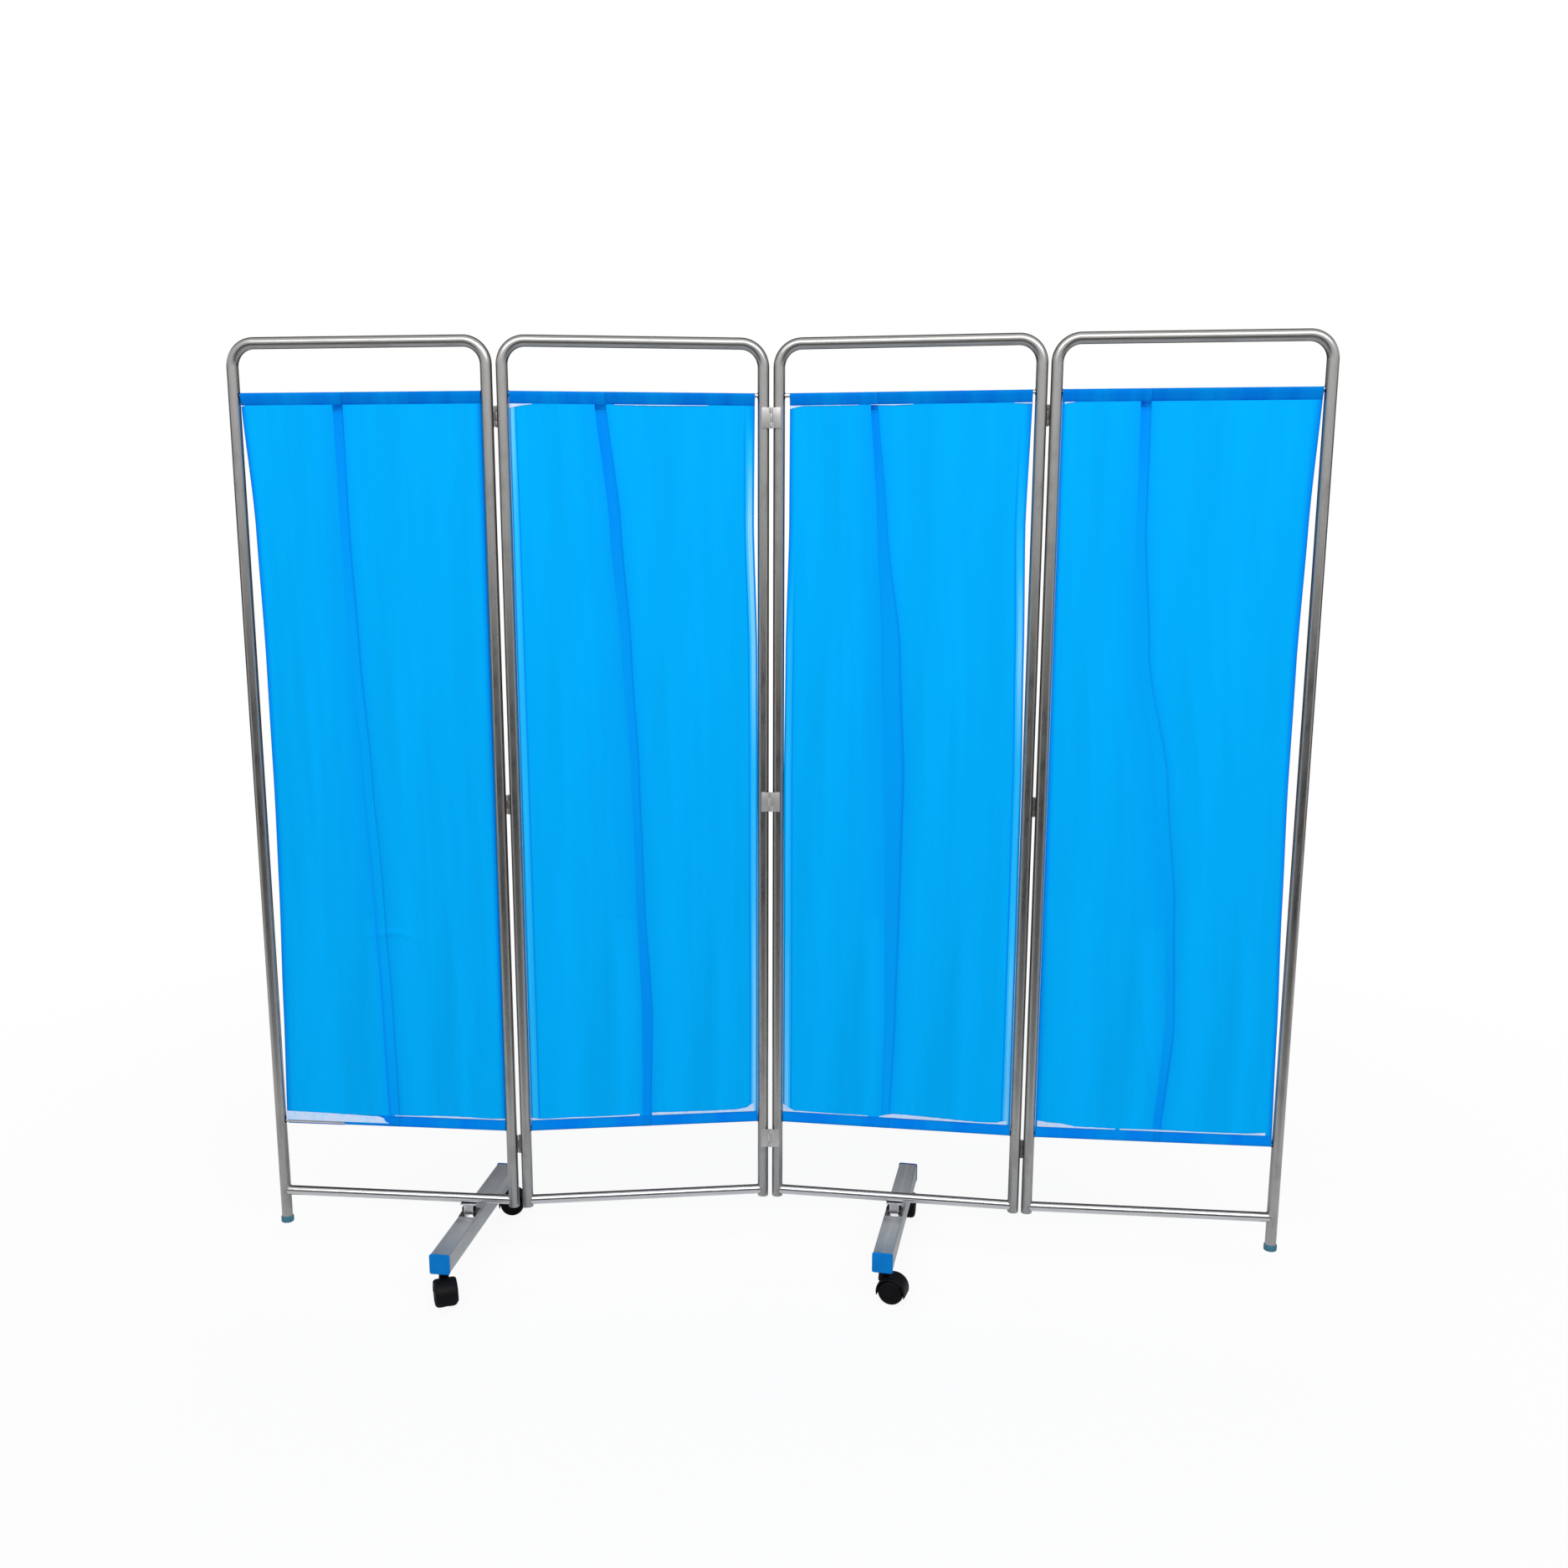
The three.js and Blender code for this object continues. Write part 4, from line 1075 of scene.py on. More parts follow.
    def hang(self, width, row, column):
        """Where a point of a width hangs, in the panel's own frame."""
        out, height, depth, _, part = self.rows[row]
        edges = [self.edge(mark, height) for mark in width.marks]
        x = width.place(edges, column)
        lapped = width.lapped(column)
        if part in ("main", "front", "low_front"):
            near_lap = max(0.0, 1 - abs(x - edges[1]) / self.lap_ease)
            level = out + self.front_step[width.side] * (1.0 if lapped else 0.25 + 0.75 * near_lap)
        else:
            off = self.back_step[width.side] * (1.0 if lapped else 0.3)
            level = out + (off if out > 0 else -off)
        if part == "main":
            level += self.fold(x, height, depth) + self.crease(x, height)
        if width.side == "left" and x < self.from_share(self.shares["bare_rod"]):
            level, height = self.behind_rod(level, height, part, row)
        return x, level, height

    def behind_rod(self, level, height, part, row):
        """Where a rod shows bare the pocket's front ends above it and the cloth hangs behind it."""
        reach, clear, sag = self.turn_radius, 1 * mm, 4.4 * mm
        if part == "low_front":
            share = min((self.low_seam - height) / self.sizes.pocket, 1.0)
            return level * (1 - share * share), height + share * (reach + clear)
        if part != "low_turn":
            return level, height
        share = (row - self.low_turn[0] + 1) / (len(self.low_turn) + 1)

        # Shares of the turn, each with its Y and Z from the rod's axis
        way = (
            (0.0, 0.0, reach + clear), (0.25, 0.85 * reach, 0.85 * reach), (0.4, 1.1 * reach, 0.0),
            (0.75, 1.1 * reach, -reach - sag), (1.0, 1.2 * reach, -0.4 * reach),
        )
        for (start, out, up), (end, next_out, next_up) in zip(way, way[1:]):
            if share <= end:
                part_way = (share - start) / (end - start)
                return out + (next_out - out) * part_way, self.bottom + up + (next_up - up) * part_way
        return level, height

    def sheen_strip_mesh(self):
        """Thin closed strips of painted sheen, each laid on the front of the cloth along its seam."""
        off, thick, step_length = 1.35 * mm, 0.25 * mm, 3 * mm
        ragged, ragged_scale, least_tall, rod_clear = 0.5 * mm, 90, 0.3 * mm, 0.6 * mm
        bm = bmesh.new()
        for seam, points in sheen_strip_runs[self.number]:
            base, way = self.sheen_strip_base(seam)
            x_low, x_high = (self.from_share(points[end][0]) for end in (0, -1))
            count = max(3, round((x_high - x_low) / step_length))
            rings = []
            for step in range(count + 1):
                x = x_low + (x_high - x_low) * step / count
                tall = self.sheen_strip_height(points, self.across_share(x))
                tall += ragged * noise.noise(Vector((x * ragged_scale, self.number, 3)))
                far = base + way * max(tall, least_tall)
                ring = []
                for height, depth in ((base, 0.0), (far, 0.0), (far, thick), (base, thick)):
                    front = -self.turn_radius - rod_clear if seam == "bare" and height == base else 0.0
                    cloth = self.fold(x, height, self.fold_depth(height))
                    ring.append(bm.verts.new((x, min(cloth - off, front) - depth, height)))
                rings.append(ring)
            for ring, after in zip(rings, rings[1:]):
                for index in range(4):
                    follow = (index + 1) % 4
                    bm.faces.new((ring[index], ring[follow], after[follow], after[index]))
            bm.faces.new(rings[0])
            bm.faces.new(rings[-1])
        bmesh.ops.recalc_face_normals(bm, faces=bm.faces)
        return bm

    def sheen_strip_base(self, seam):
        """Height of a seam that a strip of painted sheen runs along, and the way its far edge lies."""
        if seam == "high":
            return self.top_seam, -1
        return (self.low_seam if seam == "low" else self.bottom + self.bare_sheen_strip_up), 1

    def sheen_strip_height(self, points, share):
        for (start, first), (end, last) in zip(points, points[1:]):
            if share <= end:
                part = max(share - start, 0.0) / (end - start)
                return (first + (last - first) * part) * mm
        return points[-1][1] * mm

    def lap_tone(self, share, height):
        """How deep the blue is at a share of the lap's width: double cloth with painted fold shadow."""
        up, fade = self.up_share(height), 3.4
        left, band, right = (along_shares(tones, up) for tones in lap_tones[self.number])
        return max(left * math.exp(-fade * share), band, right * math.exp(-fade * (1 - share)))

    def lap_reach(self, side, height):
        """How far the lap's soft painted fold shadow reaches over the single cloth beside it."""
        wide = side == "left" and self.up_share(height) > 0.3
        return self.wide_shade_reach if wide else self.shade_reach

    def hem_tone(self, side, column, height):
        """Tone of a side hem by column from the cloth's edge: deep edge, bright strip, stitch line."""
        glow, full_glow = 0.0, 0.8
        if (self.number, side) in bright_hems:
            glow = along_shares(bright_hems[self.number, side], self.up_share(height))
        strip = (0.34, -0.5 * glow, -0.5 * glow, -0.3 * glow, 0.38)
        plain = (0.5, 0.34, 0.1, 0.0, 0.0)
        if column >= len(strip):
            return 0.0
        return plain[column] + (strip[column] - plain[column]) * min(glow / full_glow, 1.0)

    def face_tone(self, width, column, part, below):
        """How deep the blue of a face is: 0 for single cloth, 0.5 for double, 1 for a pocket, more where
        shade is painted below the top pocket.
        """
        lapped = width.lapped(column)
        if part in ("front", "turn", "back") and below.part != "main":
            seam = self.seam_tone * bump_at(below.height, self.top_seam, self.seam_reach)
            return self.top_pocket_tone[width.side] + seam
        if below.part in ("low_turn", "low_back") or part == "low_front":
            return self.low_lap_tone if lapped else self.low_pocket_tone
        if lapped:
            share = (column - (width.split if width.side == "left" else 0) + 0.5) / width.lap_columns
            # Painted shade in a blotch just below the top pocket's seam, at the head of the lap
            blotch = bump_at(below.height, self.top_seam - self.blotch_drop, self.blotch_reach)
            return self.lap_tone(share, below.height) + self.blotch_tone * blotch * (1 - 0.4 * share)
        from_side = column if width.side == "left" else width.columns - 1 - column
        # Painted fold shadow on the single cloth beside the lap, fading away from it
        from_lap = abs(column - width.split) * self.sizes.column
        painted_fold_shadow = self.lap_shade * math.exp(-from_lap / self.lap_reach(width.side, below.height))
        return self.hem_tone(width.side, from_side, below.height) + painted_fold_shadow

    def write_maps(self, bm, spots, width):
        """The UV map that the weave follows, and the tone of each face."""
        weave = bm.loops.layers.uv.new("UVMap")
        tone = bm.faces.layers.float.new("tone")
        for face in bm.faces:
            rows = [spots[vert][0] for vert in face.verts]
            column = min(spots[vert][1] for vert in face.verts)
            part, below = self.rows[min(rows)].part, self.rows[max(rows)]
            face[tone] = self.face_tone(width, column, part, below)
            for loop in face.loops:
                loop[weave].uv = spots[loop.vert][2:]


class WARD_OT_curtains(bpy.types.Operator):
    """Hangs two widths of cloth a panel, lapped in a band, with a sewn pocket round each rod"""
    bl_idname = "ward.curtains"
    bl_label = "Curtains"

    def execute(self, context):
        sizes = sizes_of(context)
        finish, sheen_strip = finish_called("azure_cloth", context), finish_called("painted_sheen_strip", context)
        for number in panel_numbers:
            cloth = CurtainCloth(number, sizes)
            for side in ("left", "right"):
                bm, flat_width = cloth.width_mesh(side)
                piece = make_piece(
                    f"curtain_{number}_{side}_width", bm, cloth.matrix, finish, f"panel_{number}",
                    [f"panel_{number}_curtain"], sharp_deg=80,
                )
                wall = piece.modifiers.new("Cloth thickness", "SOLIDIFY")
                wall.thickness = sizes.cloth
                wall.offset = 0
            # A strip of painted sheen along each pocket, as its own thin piece
            make_piece(
                f"painted_sheen_strip_{number}", cloth.sheen_strip_mesh(), cloth.matrix, sheen_strip, f"panel_{number}",
                sharp_deg=60,
            )
        return {"FINISHED"}


# Hinges

class WARD_OT_hinges(bpy.types.Operator):
    """Welds the butt hinges' leaves to the legs: knuckled plates, and a pin with a head each end"""
    bl_idname = "ward.hinges"
    bl_label = "Hinges"
    plate = 2 * mm
    plate_off_axis = 0.25 * mm
    plate_reach = 18 * mm
    plate_corner = 2.2 * mm
    plate_rim = 0.3 * mm
    end_knuckle = 10 * mm
    knuckle_gap = 0.4 * mm
    knuckle_rim = 0.35 * mm
    curl = 1.9 * mm
    curl_overlap = 0.8 * mm
    pin_head = 0.9 * mm

    # The node of a leaf with a pin is longer by this much at each end
    pin_ends = 1 * mm

    def execute(self, context):
        finish = finish_called("hinge_steel", context)
        for hinge, face in hinge_faces.items():
            axis = joint_place(f"hinge_{hinge}_fold")
            for level in hinge_levels:
                for word, side, number in (("left", -1, hinge), ("right", 1, hinge + 1)):
                    node = f"hinge_{hinge}_{level}_{word}_leaf"
                    bm = self.leaf(node, side, face, axis, number, sizes_of(context))
                    make_piece(
                        f"{level}_hinge_{hinge}_{word}_leaf", bm, panel_matrix(number), finish,
                        f"panel_{number}", [node],
                    )
        return {"FINISHED"}

    def leaf(self, node, side, face, axis, number, sizes):
        """One leaf of a hinge. A front hinge has its pin on the left leaf, a rear one on the right."""
        holds_pin = side == face
        matrix = panel_matrix(number)
        low, high = own_box(node, matrix)
        pivot = matrix.inverted() @ axis
        centre = node_centre(node).z
        half = (high.z - low.z) / 2 - (self.pin_ends if holds_pin else 0)
        inner = half - self.end_knuckle
        knuckle, pin = sizes.knuckle / 2, sizes.hinge_pin / 2
        plate_in = pivot.y - face * self.plate_off_axis
        plate_out = plate_in - face * self.plate
        plate_y = (plate_in + plate_out) / 2
        far = pivot.x + side * self.plate_reach
        near = pivot.x + side * (knuckle + self.knuckle_gap)
        bm = bmesh.new()
        plate = box(bm, (abs(far - near), self.plate, 2 * half), ((far + near) / 2, plate_y, centre))
        across = edges_along(edges_of(plate), 1, self.plate / 2)
        corners = [edge for edge in across if abs(edge.verts[0].co.x - far) < touch]
        bevel(bm, corners, self.plate_corner, segments=5)
        bevel(bm, sharp_edges(bm.edges, rim_turn), self.plate_rim, segments=2)

        def upright(start, end, radius, sides, radius_end=None):
            """A round bar on the fold axis, between two levels from the hinge's middle."""
            foot, head = ((pivot.x, pivot.y, centre + level) for level in (start, end))
            return bar_between(bm, foot, head, radius, sides, radius_end)

        spans = ((self.knuckle_gap - inner, inner - self.knuckle_gap),)
        if holds_pin:
            spans = ((-half, -inner), (inner, half))
        for start, end in spans:
            round_edges(bm, upright(start, end, knuckle, 28), self.knuckle_rim, segments=2)
            size = (abs(near - pivot.x) + self.curl_overlap, self.curl, end - start)
            box(bm, size, ((near + pivot.x) / 2, plate_y, centre + (start + end) / 2))
        if holds_pin:
            upright(-half, half, pin, 20)
            for end in (-1, 1):
                upright(end * half, end * (half + self.pin_head), pin, 20, pin * 0.6)
        self.weld_beads(bm, plate_out, centre, half, side, sizes)
        return bm

    def weld_beads(self, bm, plate_out, centre, half, side, sizes):
        """Short weld beads where the leaf's top and bottom edges meet the tube."""
        pitch, radius, lift = 1.8 * mm, 1.25 * mm, 0.2 * mm
        for end in (-1, 1):
            for step in range(-2, 3):
                x = step * pitch - side * sizes.leg_place
                bead = bmesh.ops.create_icosphere(bm, subdivisions=1, radius=radius)["verts"]
                bmesh.ops.scale(bm, vec=(1.2, 0.8, 0.7), verts=bead)
                bmesh.ops.translate(bm, vec=(x, plate_out, centre + end * (half + lift)), verts=bead)


# Base bars, brackets and bolts

class WARD_OT_bars(bpy.types.Operator):
    """Cuts the square base bars and plugs their ends with blue caps"""
    bl_idname = "ward.bars"
    bl_label = "Base bars"
    bar_corner = 3 * mm
    bore_depth = 14 * mm
    cap_corner = 4 * mm
    cap_rim = 1.2 * mm
    plug_inset = 2.8 * mm
    plug_corner = 1.5 * mm

    def execute(self, context):
        sizes = sizes_of(context)
        steel, blue = finish_called("bar_steel", context), finish_called("blue_plastic", context)
        for number in barred_panels:
            matrix, body = bar_matrix(number), f"panel_{number}"
            make_piece(
                f"square_bar_{number}", self.bar(number, matrix, sizes), matrix, steel, body,
                [f"base_bar_{number}"], sharp_deg=50,
            )
            for word, end in (("front", -1), ("rear", 1)):
                node = f"base_bar_{number}_{word}_cap"
                make_piece(
                    f"{word}_cap_{number}", self.cap(node, matrix, end, sizes), matrix, blue, body,
                    [node], sharp_deg=50,
                )
        return {"FINISHED"}

    def bar(self, number, matrix, sizes):
        """Square tube with rounded long edges, hollow at both ends."""
        low, high = own_box(f"base_bar_{number}", matrix)
        bm = bmesh.new()
        self.round_along(bm, box(bm, high - low, (low + high) / 2), self.bar_corner)
        bm.normal_update()
        ends = [face for face in bm.faces if abs(face.normal.y) > 0.9]
        bmesh.ops.inset_individual(bm, faces=ends, thickness=sizes.bar_wall, depth=0)
        for face in ends:
            floor = bmesh.ops.extrude_discrete_faces(bm, faces=[face])["faces"][0]
            inward = -math.copysign(self.bore_depth, floor.calc_center_median().y)
            bmesh.ops.translate(bm, vec=(0, inward, 0), verts=floor.verts)
        bmesh.ops.remove_doubles(bm, verts=bm.verts, dist=touch)
        strip_uv(bm, (0, 1, 0))
        return bm

    def cap(self, node, matrix, end, sizes):
        """A thin head with a rounded rim over the bar's end, and a plug inside the bar."""
        low, high = own_box(node, matrix)
        outer, inner = (high.y, low.y) if end > 0 else (low.y, high.y)
        step = outer - end * sizes.cap_head
        middle = (low + high) / 2
        wide = high.x - low.x
        plug_wide = wide - 2 * self.plug_inset
        bm = bmesh.new()
        head = box(bm, (wide, sizes.cap_head, wide), (middle.x, (outer + step) / 2, middle.z))
        self.round_along(bm, head, self.cap_corner)
        rim = [
            edge for edge in sharp_edges(bm.edges, rim_turn)
            if all(abs(vert.co.y - outer) < touch for vert in edge.verts)
        ]
        bevel(bm, rim, self.cap_rim, segments=5)
        plug = box(bm, (plug_wide, abs(step - inner), plug_wide), (middle.x, (step + inner) / 2, middle.z))
        self.round_along(bm, plug, self.plug_corner)
        bmesh.ops.recalc_face_normals(bm, faces=bm.faces)
        return bm

    def round_along(self, bm, verts, radius):
        """Rounds the four edges of a block that run along the bar."""
        bevel(bm, edges_along(edges_of(verts), 1, 2 * mm), radius, segments=6)


class WARD_OT_brackets(bpy.types.Operator):
    """Hangs a bracket under each barred rail, over a saddle on the bar, with a bolt through both"""
    bl_idname = "ward.brackets"
    bl_label = "Brackets"

    def execute(self, context):
        plate, black = finish_called("plate_steel", context), finish_called("black_steel", context)
        for number in barred_panels:
            matrix = panel_matrix(number)
            for word, make, finish, slot in (
                ("rail_bracket", self.bracket, plate, "satin_steel"),
                ("saddle", self.saddle, plate, "bright_steel"),
                ("bolt", self.bolt, black, "black_steel"),
            ):
                node = f"base_bar_{number}_{word}"
                bm = make(*own_box(node, matrix))
                make_piece(f"{word}_{number}", bm, matrix, finish, f"panel_{number}", [node])
        return {"FINISHED"}

    def bracket(self, low, high):
        """A flange under the rail, and a square post that is hollow from below."""
        flange_long, flange_wide, flange_thick, flange_rim = 32 * mm, 20 * mm, 2.5 * mm, 0.5 * mm
        post, wall, bore_depth, post_corner, into_rail = 19 * mm, 2 * mm, 15 * mm, 1.8 * mm, 2 * mm
        centre = (low + high) / 2
        post_top = high.z - into_rail
        bm = bmesh.new()
        flange_place = (centre.x, centre.y, high.z - flange_thick / 2)
        flange = box(bm, (flange_long, flange_wide, flange_thick), flange_place)
        round_edges(bm, flange, flange_rim, segments=3)
        upright = box(bm, (post, post, post_top - low.z), (centre.x, centre.y, (post_top + low.z) / 2))
        corners = edges_along(edges_of(upright), 2, wall)
        bottom = [
            face for face in bm.faces
            if abs(face.calc_center_median().z - low.z) < touch and abs(face.normal.z) > 0.9
        ]
        bmesh.ops.inset_region(bm, faces=bottom, thickness=wall, depth=0)
        floor = bmesh.ops.extrude_discrete_faces(bm, faces=bottom)["faces"]
        bmesh.ops.translate(bm, vec=(0, 0, bore_depth), verts=list({v for f in floor for v in f.verts}))
        bevel(bm, corners, post_corner, segments=4)
        return bm

    def saddle(self, low, high):
        """A plate on the bar, and a tongue that stands up into the post."""
        thick, plate_corner, plate_rim = 2.5 * mm, 2 * mm, 0.4 * mm
        tongue, tongue_rim = 14.4 * mm, 1.2 * mm
        centre = (low + high) / 2
        plate_top = low.z + thick
        bm = bmesh.new()
        plate = box(bm, (high.x - low.x, high.y - low.y, thick), (centre.x, centre.y, low.z + thick / 2))
        bevel(bm, edges_along(edges_of(plate), 2, thick / 2), plate_corner, segments=4)
        bevel(bm, sharp_edges(bm.edges, rim_turn), plate_rim, segments=2)
        block = box(bm, (tongue, tongue, high.z - plate_top), (centre.x, centre.y, (high.z + plate_top) / 2))
        round_edges(bm, block, tongue_rim, segments=3)
        return bm

    def bolt(self, low, high):
        """A cross bolt through post and tongue, with a washer and a hexagon at each end."""
        shank_radius, half_grip = 3 * mm, 9.6 * mm
        washer, washer_radius, washer_rim = 0.8 * mm, 6.3 * mm, 0.2 * mm
        head, head_radius, head_rim = 3.4 * mm, 5.8 * mm, 0.5 * mm
        centre = (low + high) / 2
        bm = bmesh.new()

        def level_bar(start, end, radius, sides):
            return bar_between(bm, (start, centre.y, centre.z), (end, centre.y, centre.z), radius, sides)

        level_bar(low.x, high.x, shank_radius, 24)
        for side in (-1, 1):
            seat = centre.x + side * half_grip
            face = seat + side * washer
            round_edges(bm, level_bar(seat, face, washer_radius, 32), washer_rim, segments=2)
            round_edges(bm, level_bar(face, face + side * head, head_radius, 6), head_rim, segments=3)
        return bm


# Castors and feet

class WARD_OT_castors(bpy.types.Operator):
    """Builds the four twin-wheel castors: hooded housing, steel stem and wheels on one axle"""
    bl_idname = "ward.castors"
    bl_label = "Castors"
    collar_gap = 0.3 * mm

    def execute(self, context):
        sizes = sizes_of(context)
        hood, tread = finish_called("black_plastic", context), finish_called("black_tread", context)
        steel = finish_called("plate_steel", context)
        for castor in castors:
            matrix = castor_matrix(castor)
            fork, node = f"castor_{castor}_fork", f"castor_{castor}_housing"
            axle = matrix.inverted() @ joint_place(f"castor_{castor}_roll")
            high = own_box(node, matrix)[1]
            collar_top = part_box(f"base_bar_{castor[0]}")[0].z - self.collar_gap
            housing = self.housing(axle, high.x, collar_top - sizes.collar, sizes)
            make_piece(
                f"castor_{castor}_hood", housing, matrix, hood, fork, [node], sharp_deg=40
            )
            stem = self.stem(collar_top, high.z, sizes)
            make_piece(f"castor_{castor}_stem", stem, matrix, steel, fork, [node])
            out = own_box(f"castor_{castor}_wheels", matrix)[1].x
            make_piece(
                f"castor_{castor}_twin_wheels", self.wheels(axle, out, sizes), matrix, tread,
                f"castor_{castor}_wheel_pair", [f"castor_{castor}_wheels"], sharp_deg=40,
            )
        return {"FINISHED"}

    def housing(self, axle, half, boss_top, sizes):
        """A barrel-shaped hood over both wheels, a web between them and the boss above."""
        outer, half_web = sizes.castor_hood, sizes.web / 2
        inner = outer - sizes.hood_wall
        shoulder, drop, lip = 8 * mm, 3.8 * mm, 1.4 * mm
        web_hub, boss_depth, boss_radius, boss_top_radius = 24.6 * mm, 12 * mm, 10.2 * mm, 9 * mm
        start, sweep = math.radians(-14), math.radians(208)
        round_side = [
            (half - shoulder + shoulder * x, outer - drop + drop * z) for x, z in arc((0, 0), 1, 23, 90, 8)
        ]
        outline = [(shoulder - half, inner), (half - shoulder, inner), (half - lip, inner)]
        outline += round_side + [(-x, reach) for x, reach in reversed(round_side)]
        outline += [(lip - half, inner)]
        bm = bmesh.new()
        section = bm.faces.new([
            bm.verts.new((x, axle.y + reach * math.cos(start), axle.z + reach * math.sin(start)))
            for x, reach in outline
        ])
        bmesh.ops.spin(
            bm, geom=[section], cent=(0, axle.y, axle.z), axis=(1, 0, 0), angle=sweep, steps=56
        )
        web_ends = ((-half_web, axle.y, axle.z), (half_web, axle.y, axle.z))
        web = bar_between(bm, *web_ends, (outer + inner) / 2, segments=64)
        cut = bmesh.ops.bisect_plane(
            bm, geom=web + edges_of(web) + list({face for vert in web for face in vert.link_faces}),
            plane_co=(0, axle.y, axle.z), plane_no=(0, 0, -1), clear_outer=True,
        )
        rim = [item for item in cut["geom_cut"] if isinstance(item, bmesh.types.BMEdge)]
        bmesh.ops.edgeloop_fill(bm, edges=rim)
        bar_between(bm, *web_ends, web_hub, segments=48)
        boss_foot = (0, 0, axle.z + outer - boss_depth)
        bar_between(bm, boss_foot, (0, 0, boss_top), boss_radius, 40, radius_end=boss_top_radius)
        bmesh.ops.recalc_face_normals(bm, faces=bm.faces)
        return bm

    def stem(self, collar_top, stem_top, sizes):
        """The steel collar and the stem that goes up into the bar."""
        collar_radius, collar_rim, stem_radius = 6.5 * mm, 0.5 * mm, 5 * mm
        bm = bmesh.new()
        foot = (0, 0, collar_top - sizes.collar)
        collar = bar_between(bm, foot, (0, 0, collar_top), collar_radius, segments=36)
        round_edges(bm, collar, collar_rim, segments=2)
        bar_between(bm, (0, 0, collar_top), (0, 0, stem_top), stem_radius, segments=28)
        return bm

    def wheels(self, axle, out, sizes):
        """Both wheels and their axle, spun about the axle from one outline."""
        radius, hub, axle_radius = sizes.wheel_radius, 8.5 * mm, 3 * mm
        edge, edge_stretch = 6.5 * mm, 1.4
        hub_sunk, disc_sunk, ease = 0.3 * mm, 2 * mm, 1 * mm
        inside = sizes.web / 2 + 0.5 * mm
        rim = radius - edge - 0.8 * mm
        half = [(out - hub_sunk, 0.0), (out - hub_sunk, hub - 2 * ease), (out - ease, hub - 0.6 * ease)]
        half += [(out - disc_sunk, hub), (out - disc_sunk, rim - ease), (out - 1.4 * ease, rim)]
        half += [(out, rim + 0.5 * ease)]
        half += [
            (out - edge_stretch * (edge - x), radius - edge + z) for x, z in arc((0, 0), edge, 4, 90, 9)
        ]
        half += [(inside + ease, radius), (inside, radius - ease), (inside, axle_radius)]
        outline = half + [(-x, reach) for x, reach in reversed(half)]
        bm = bmesh.new()
        points = [(x, axle.y, axle.z + reach) for x, reach in outline]
        turned(bm, points, segments=72, axis=(1, 0, 0), centre=(0, axle.y, axle.z))
        return bm


class WARD_OT_feet(bpy.types.Operator):
    """Turns the two rubber feet under the outer legs"""
    bl_idname = "ward.feet"
    bl_label = "Feet"
    wall = 1.85 * mm
    leg_gap = 0.3 * mm

    def execute(self, context):
        sizes = sizes_of(context)
        finish = finish_called("teal_rubber", context)
        for number, side in ((1, -1), (4, 1)):
            node, matrix = f"panel_{number}_foot", panel_matrix(number)
            top = leg_ends(number)[0 if side < 0 else 1] - self.leg_gap
            outline = self.outline(own_box(node, matrix)[0].z, top, sizes.tube_diameter / 2 + self.wall)
            leg = side * sizes.leg_place
            bm = bmesh.new()
            turned(bm, [(leg + out, 0, up) for out, up in outline], segments=48, centre=(leg, 0, 0))
            make_piece(
                f"rubber_foot_{number}", bm, matrix, finish, f"panel_{number}", [node],
                sharp_deg=50,
            )
        return {"FINISHED"}

    def outline(self, foot, top, radius):
        """Half the section of a foot, from the middle of its sole to the middle of its top."""
        round_low, round_high, sole_in, sole_up = 2 * mm, 2.6 * mm, 4 * mm, 0.4 * mm
        step, step_up, sole_ease = 0.6 * mm, 0.2 * mm, 1 * mm
        sole = radius - sole_in
        points = [(0.0, foot + sole_up), (sole - sole_ease, foot + sole_up), (sole, foot)]
        points += arc((radius - round_low, foot + round_low), round_low, -90, 0, 6)
        points += arc((radius - round_high, top - round_high), round_high, 0, 90, 6)
        return points + [(sole, top), (sole - step, top + step_up), (0.0, top + step_up)]


# Stage

camera_place = (-0.0215, -2.8428, 1.4426)
camera_yaw_deg = -0.028
camera_pitch_deg = 11.152
camera_roll_deg = -0.003
camera_lens = 34.467
camera_shift = (0.0161, 0.0314)
camera_sensor = 36

# The floor looks a little darker round the screen and fades to white between two distances
floor_radius = 9
floor_grey = (0.72, 0.72, 0.72)
floor_shade = 0.91
fade_start = 0.9
fade_end = 3.2

# Strength of the surroundings as light; the camera and reflections see them at 1
ambient_light = 0.6

# Soft lamps: place, aim, size and watts
lamps = {
    "front_lamp": ((0.2, -3.4, 4.2), (0.1, 0, 1.2), (7.0, 1.7), 192),
    "back_lamp": ((0.3, 3.6, 4.5), (0, 0, 0.9), (3.0, 2.0), 62),
}

# Boards that only show in polished metal: size, place, turn in degrees and grey
thin = 2 * mm
cards = {
    "near_floor_card": ((10, 1.1, thin), (0, -1.45, thin), 0, 0.36),
    "under_floor_card": ((10, 0.9, thin), (0, 0.05, thin), 0, 0.78),
    "far_floor_card": ((10, 0.6, thin), (0, -2.3, thin), 0, 0.14),
    "front_wall_card": ((10, 0.02, 1.25), (0, -2.6, 0.625), 0, 0.05),
    "rear_wall_card": ((9, 0.02, 3.8), (0, 5.0, 1.9), 0, 0.07),
    "left_wall_card": ((6, 0.02, 2.4), (-4.8, 2.2, 1.2), 75, 0.07),
    "right_wall_card": ((6, 0.02, 2.4), (4.8, 2.2, 1.2), -75, 0.07),
    "rear_floor_card": ((9, 3.8, thin), (0, 3.1, thin), 0, 0.1),
    "high_card": ((9, 4.5, 0.02), (0, 2.75, 3.8), 0, 0.1),
}


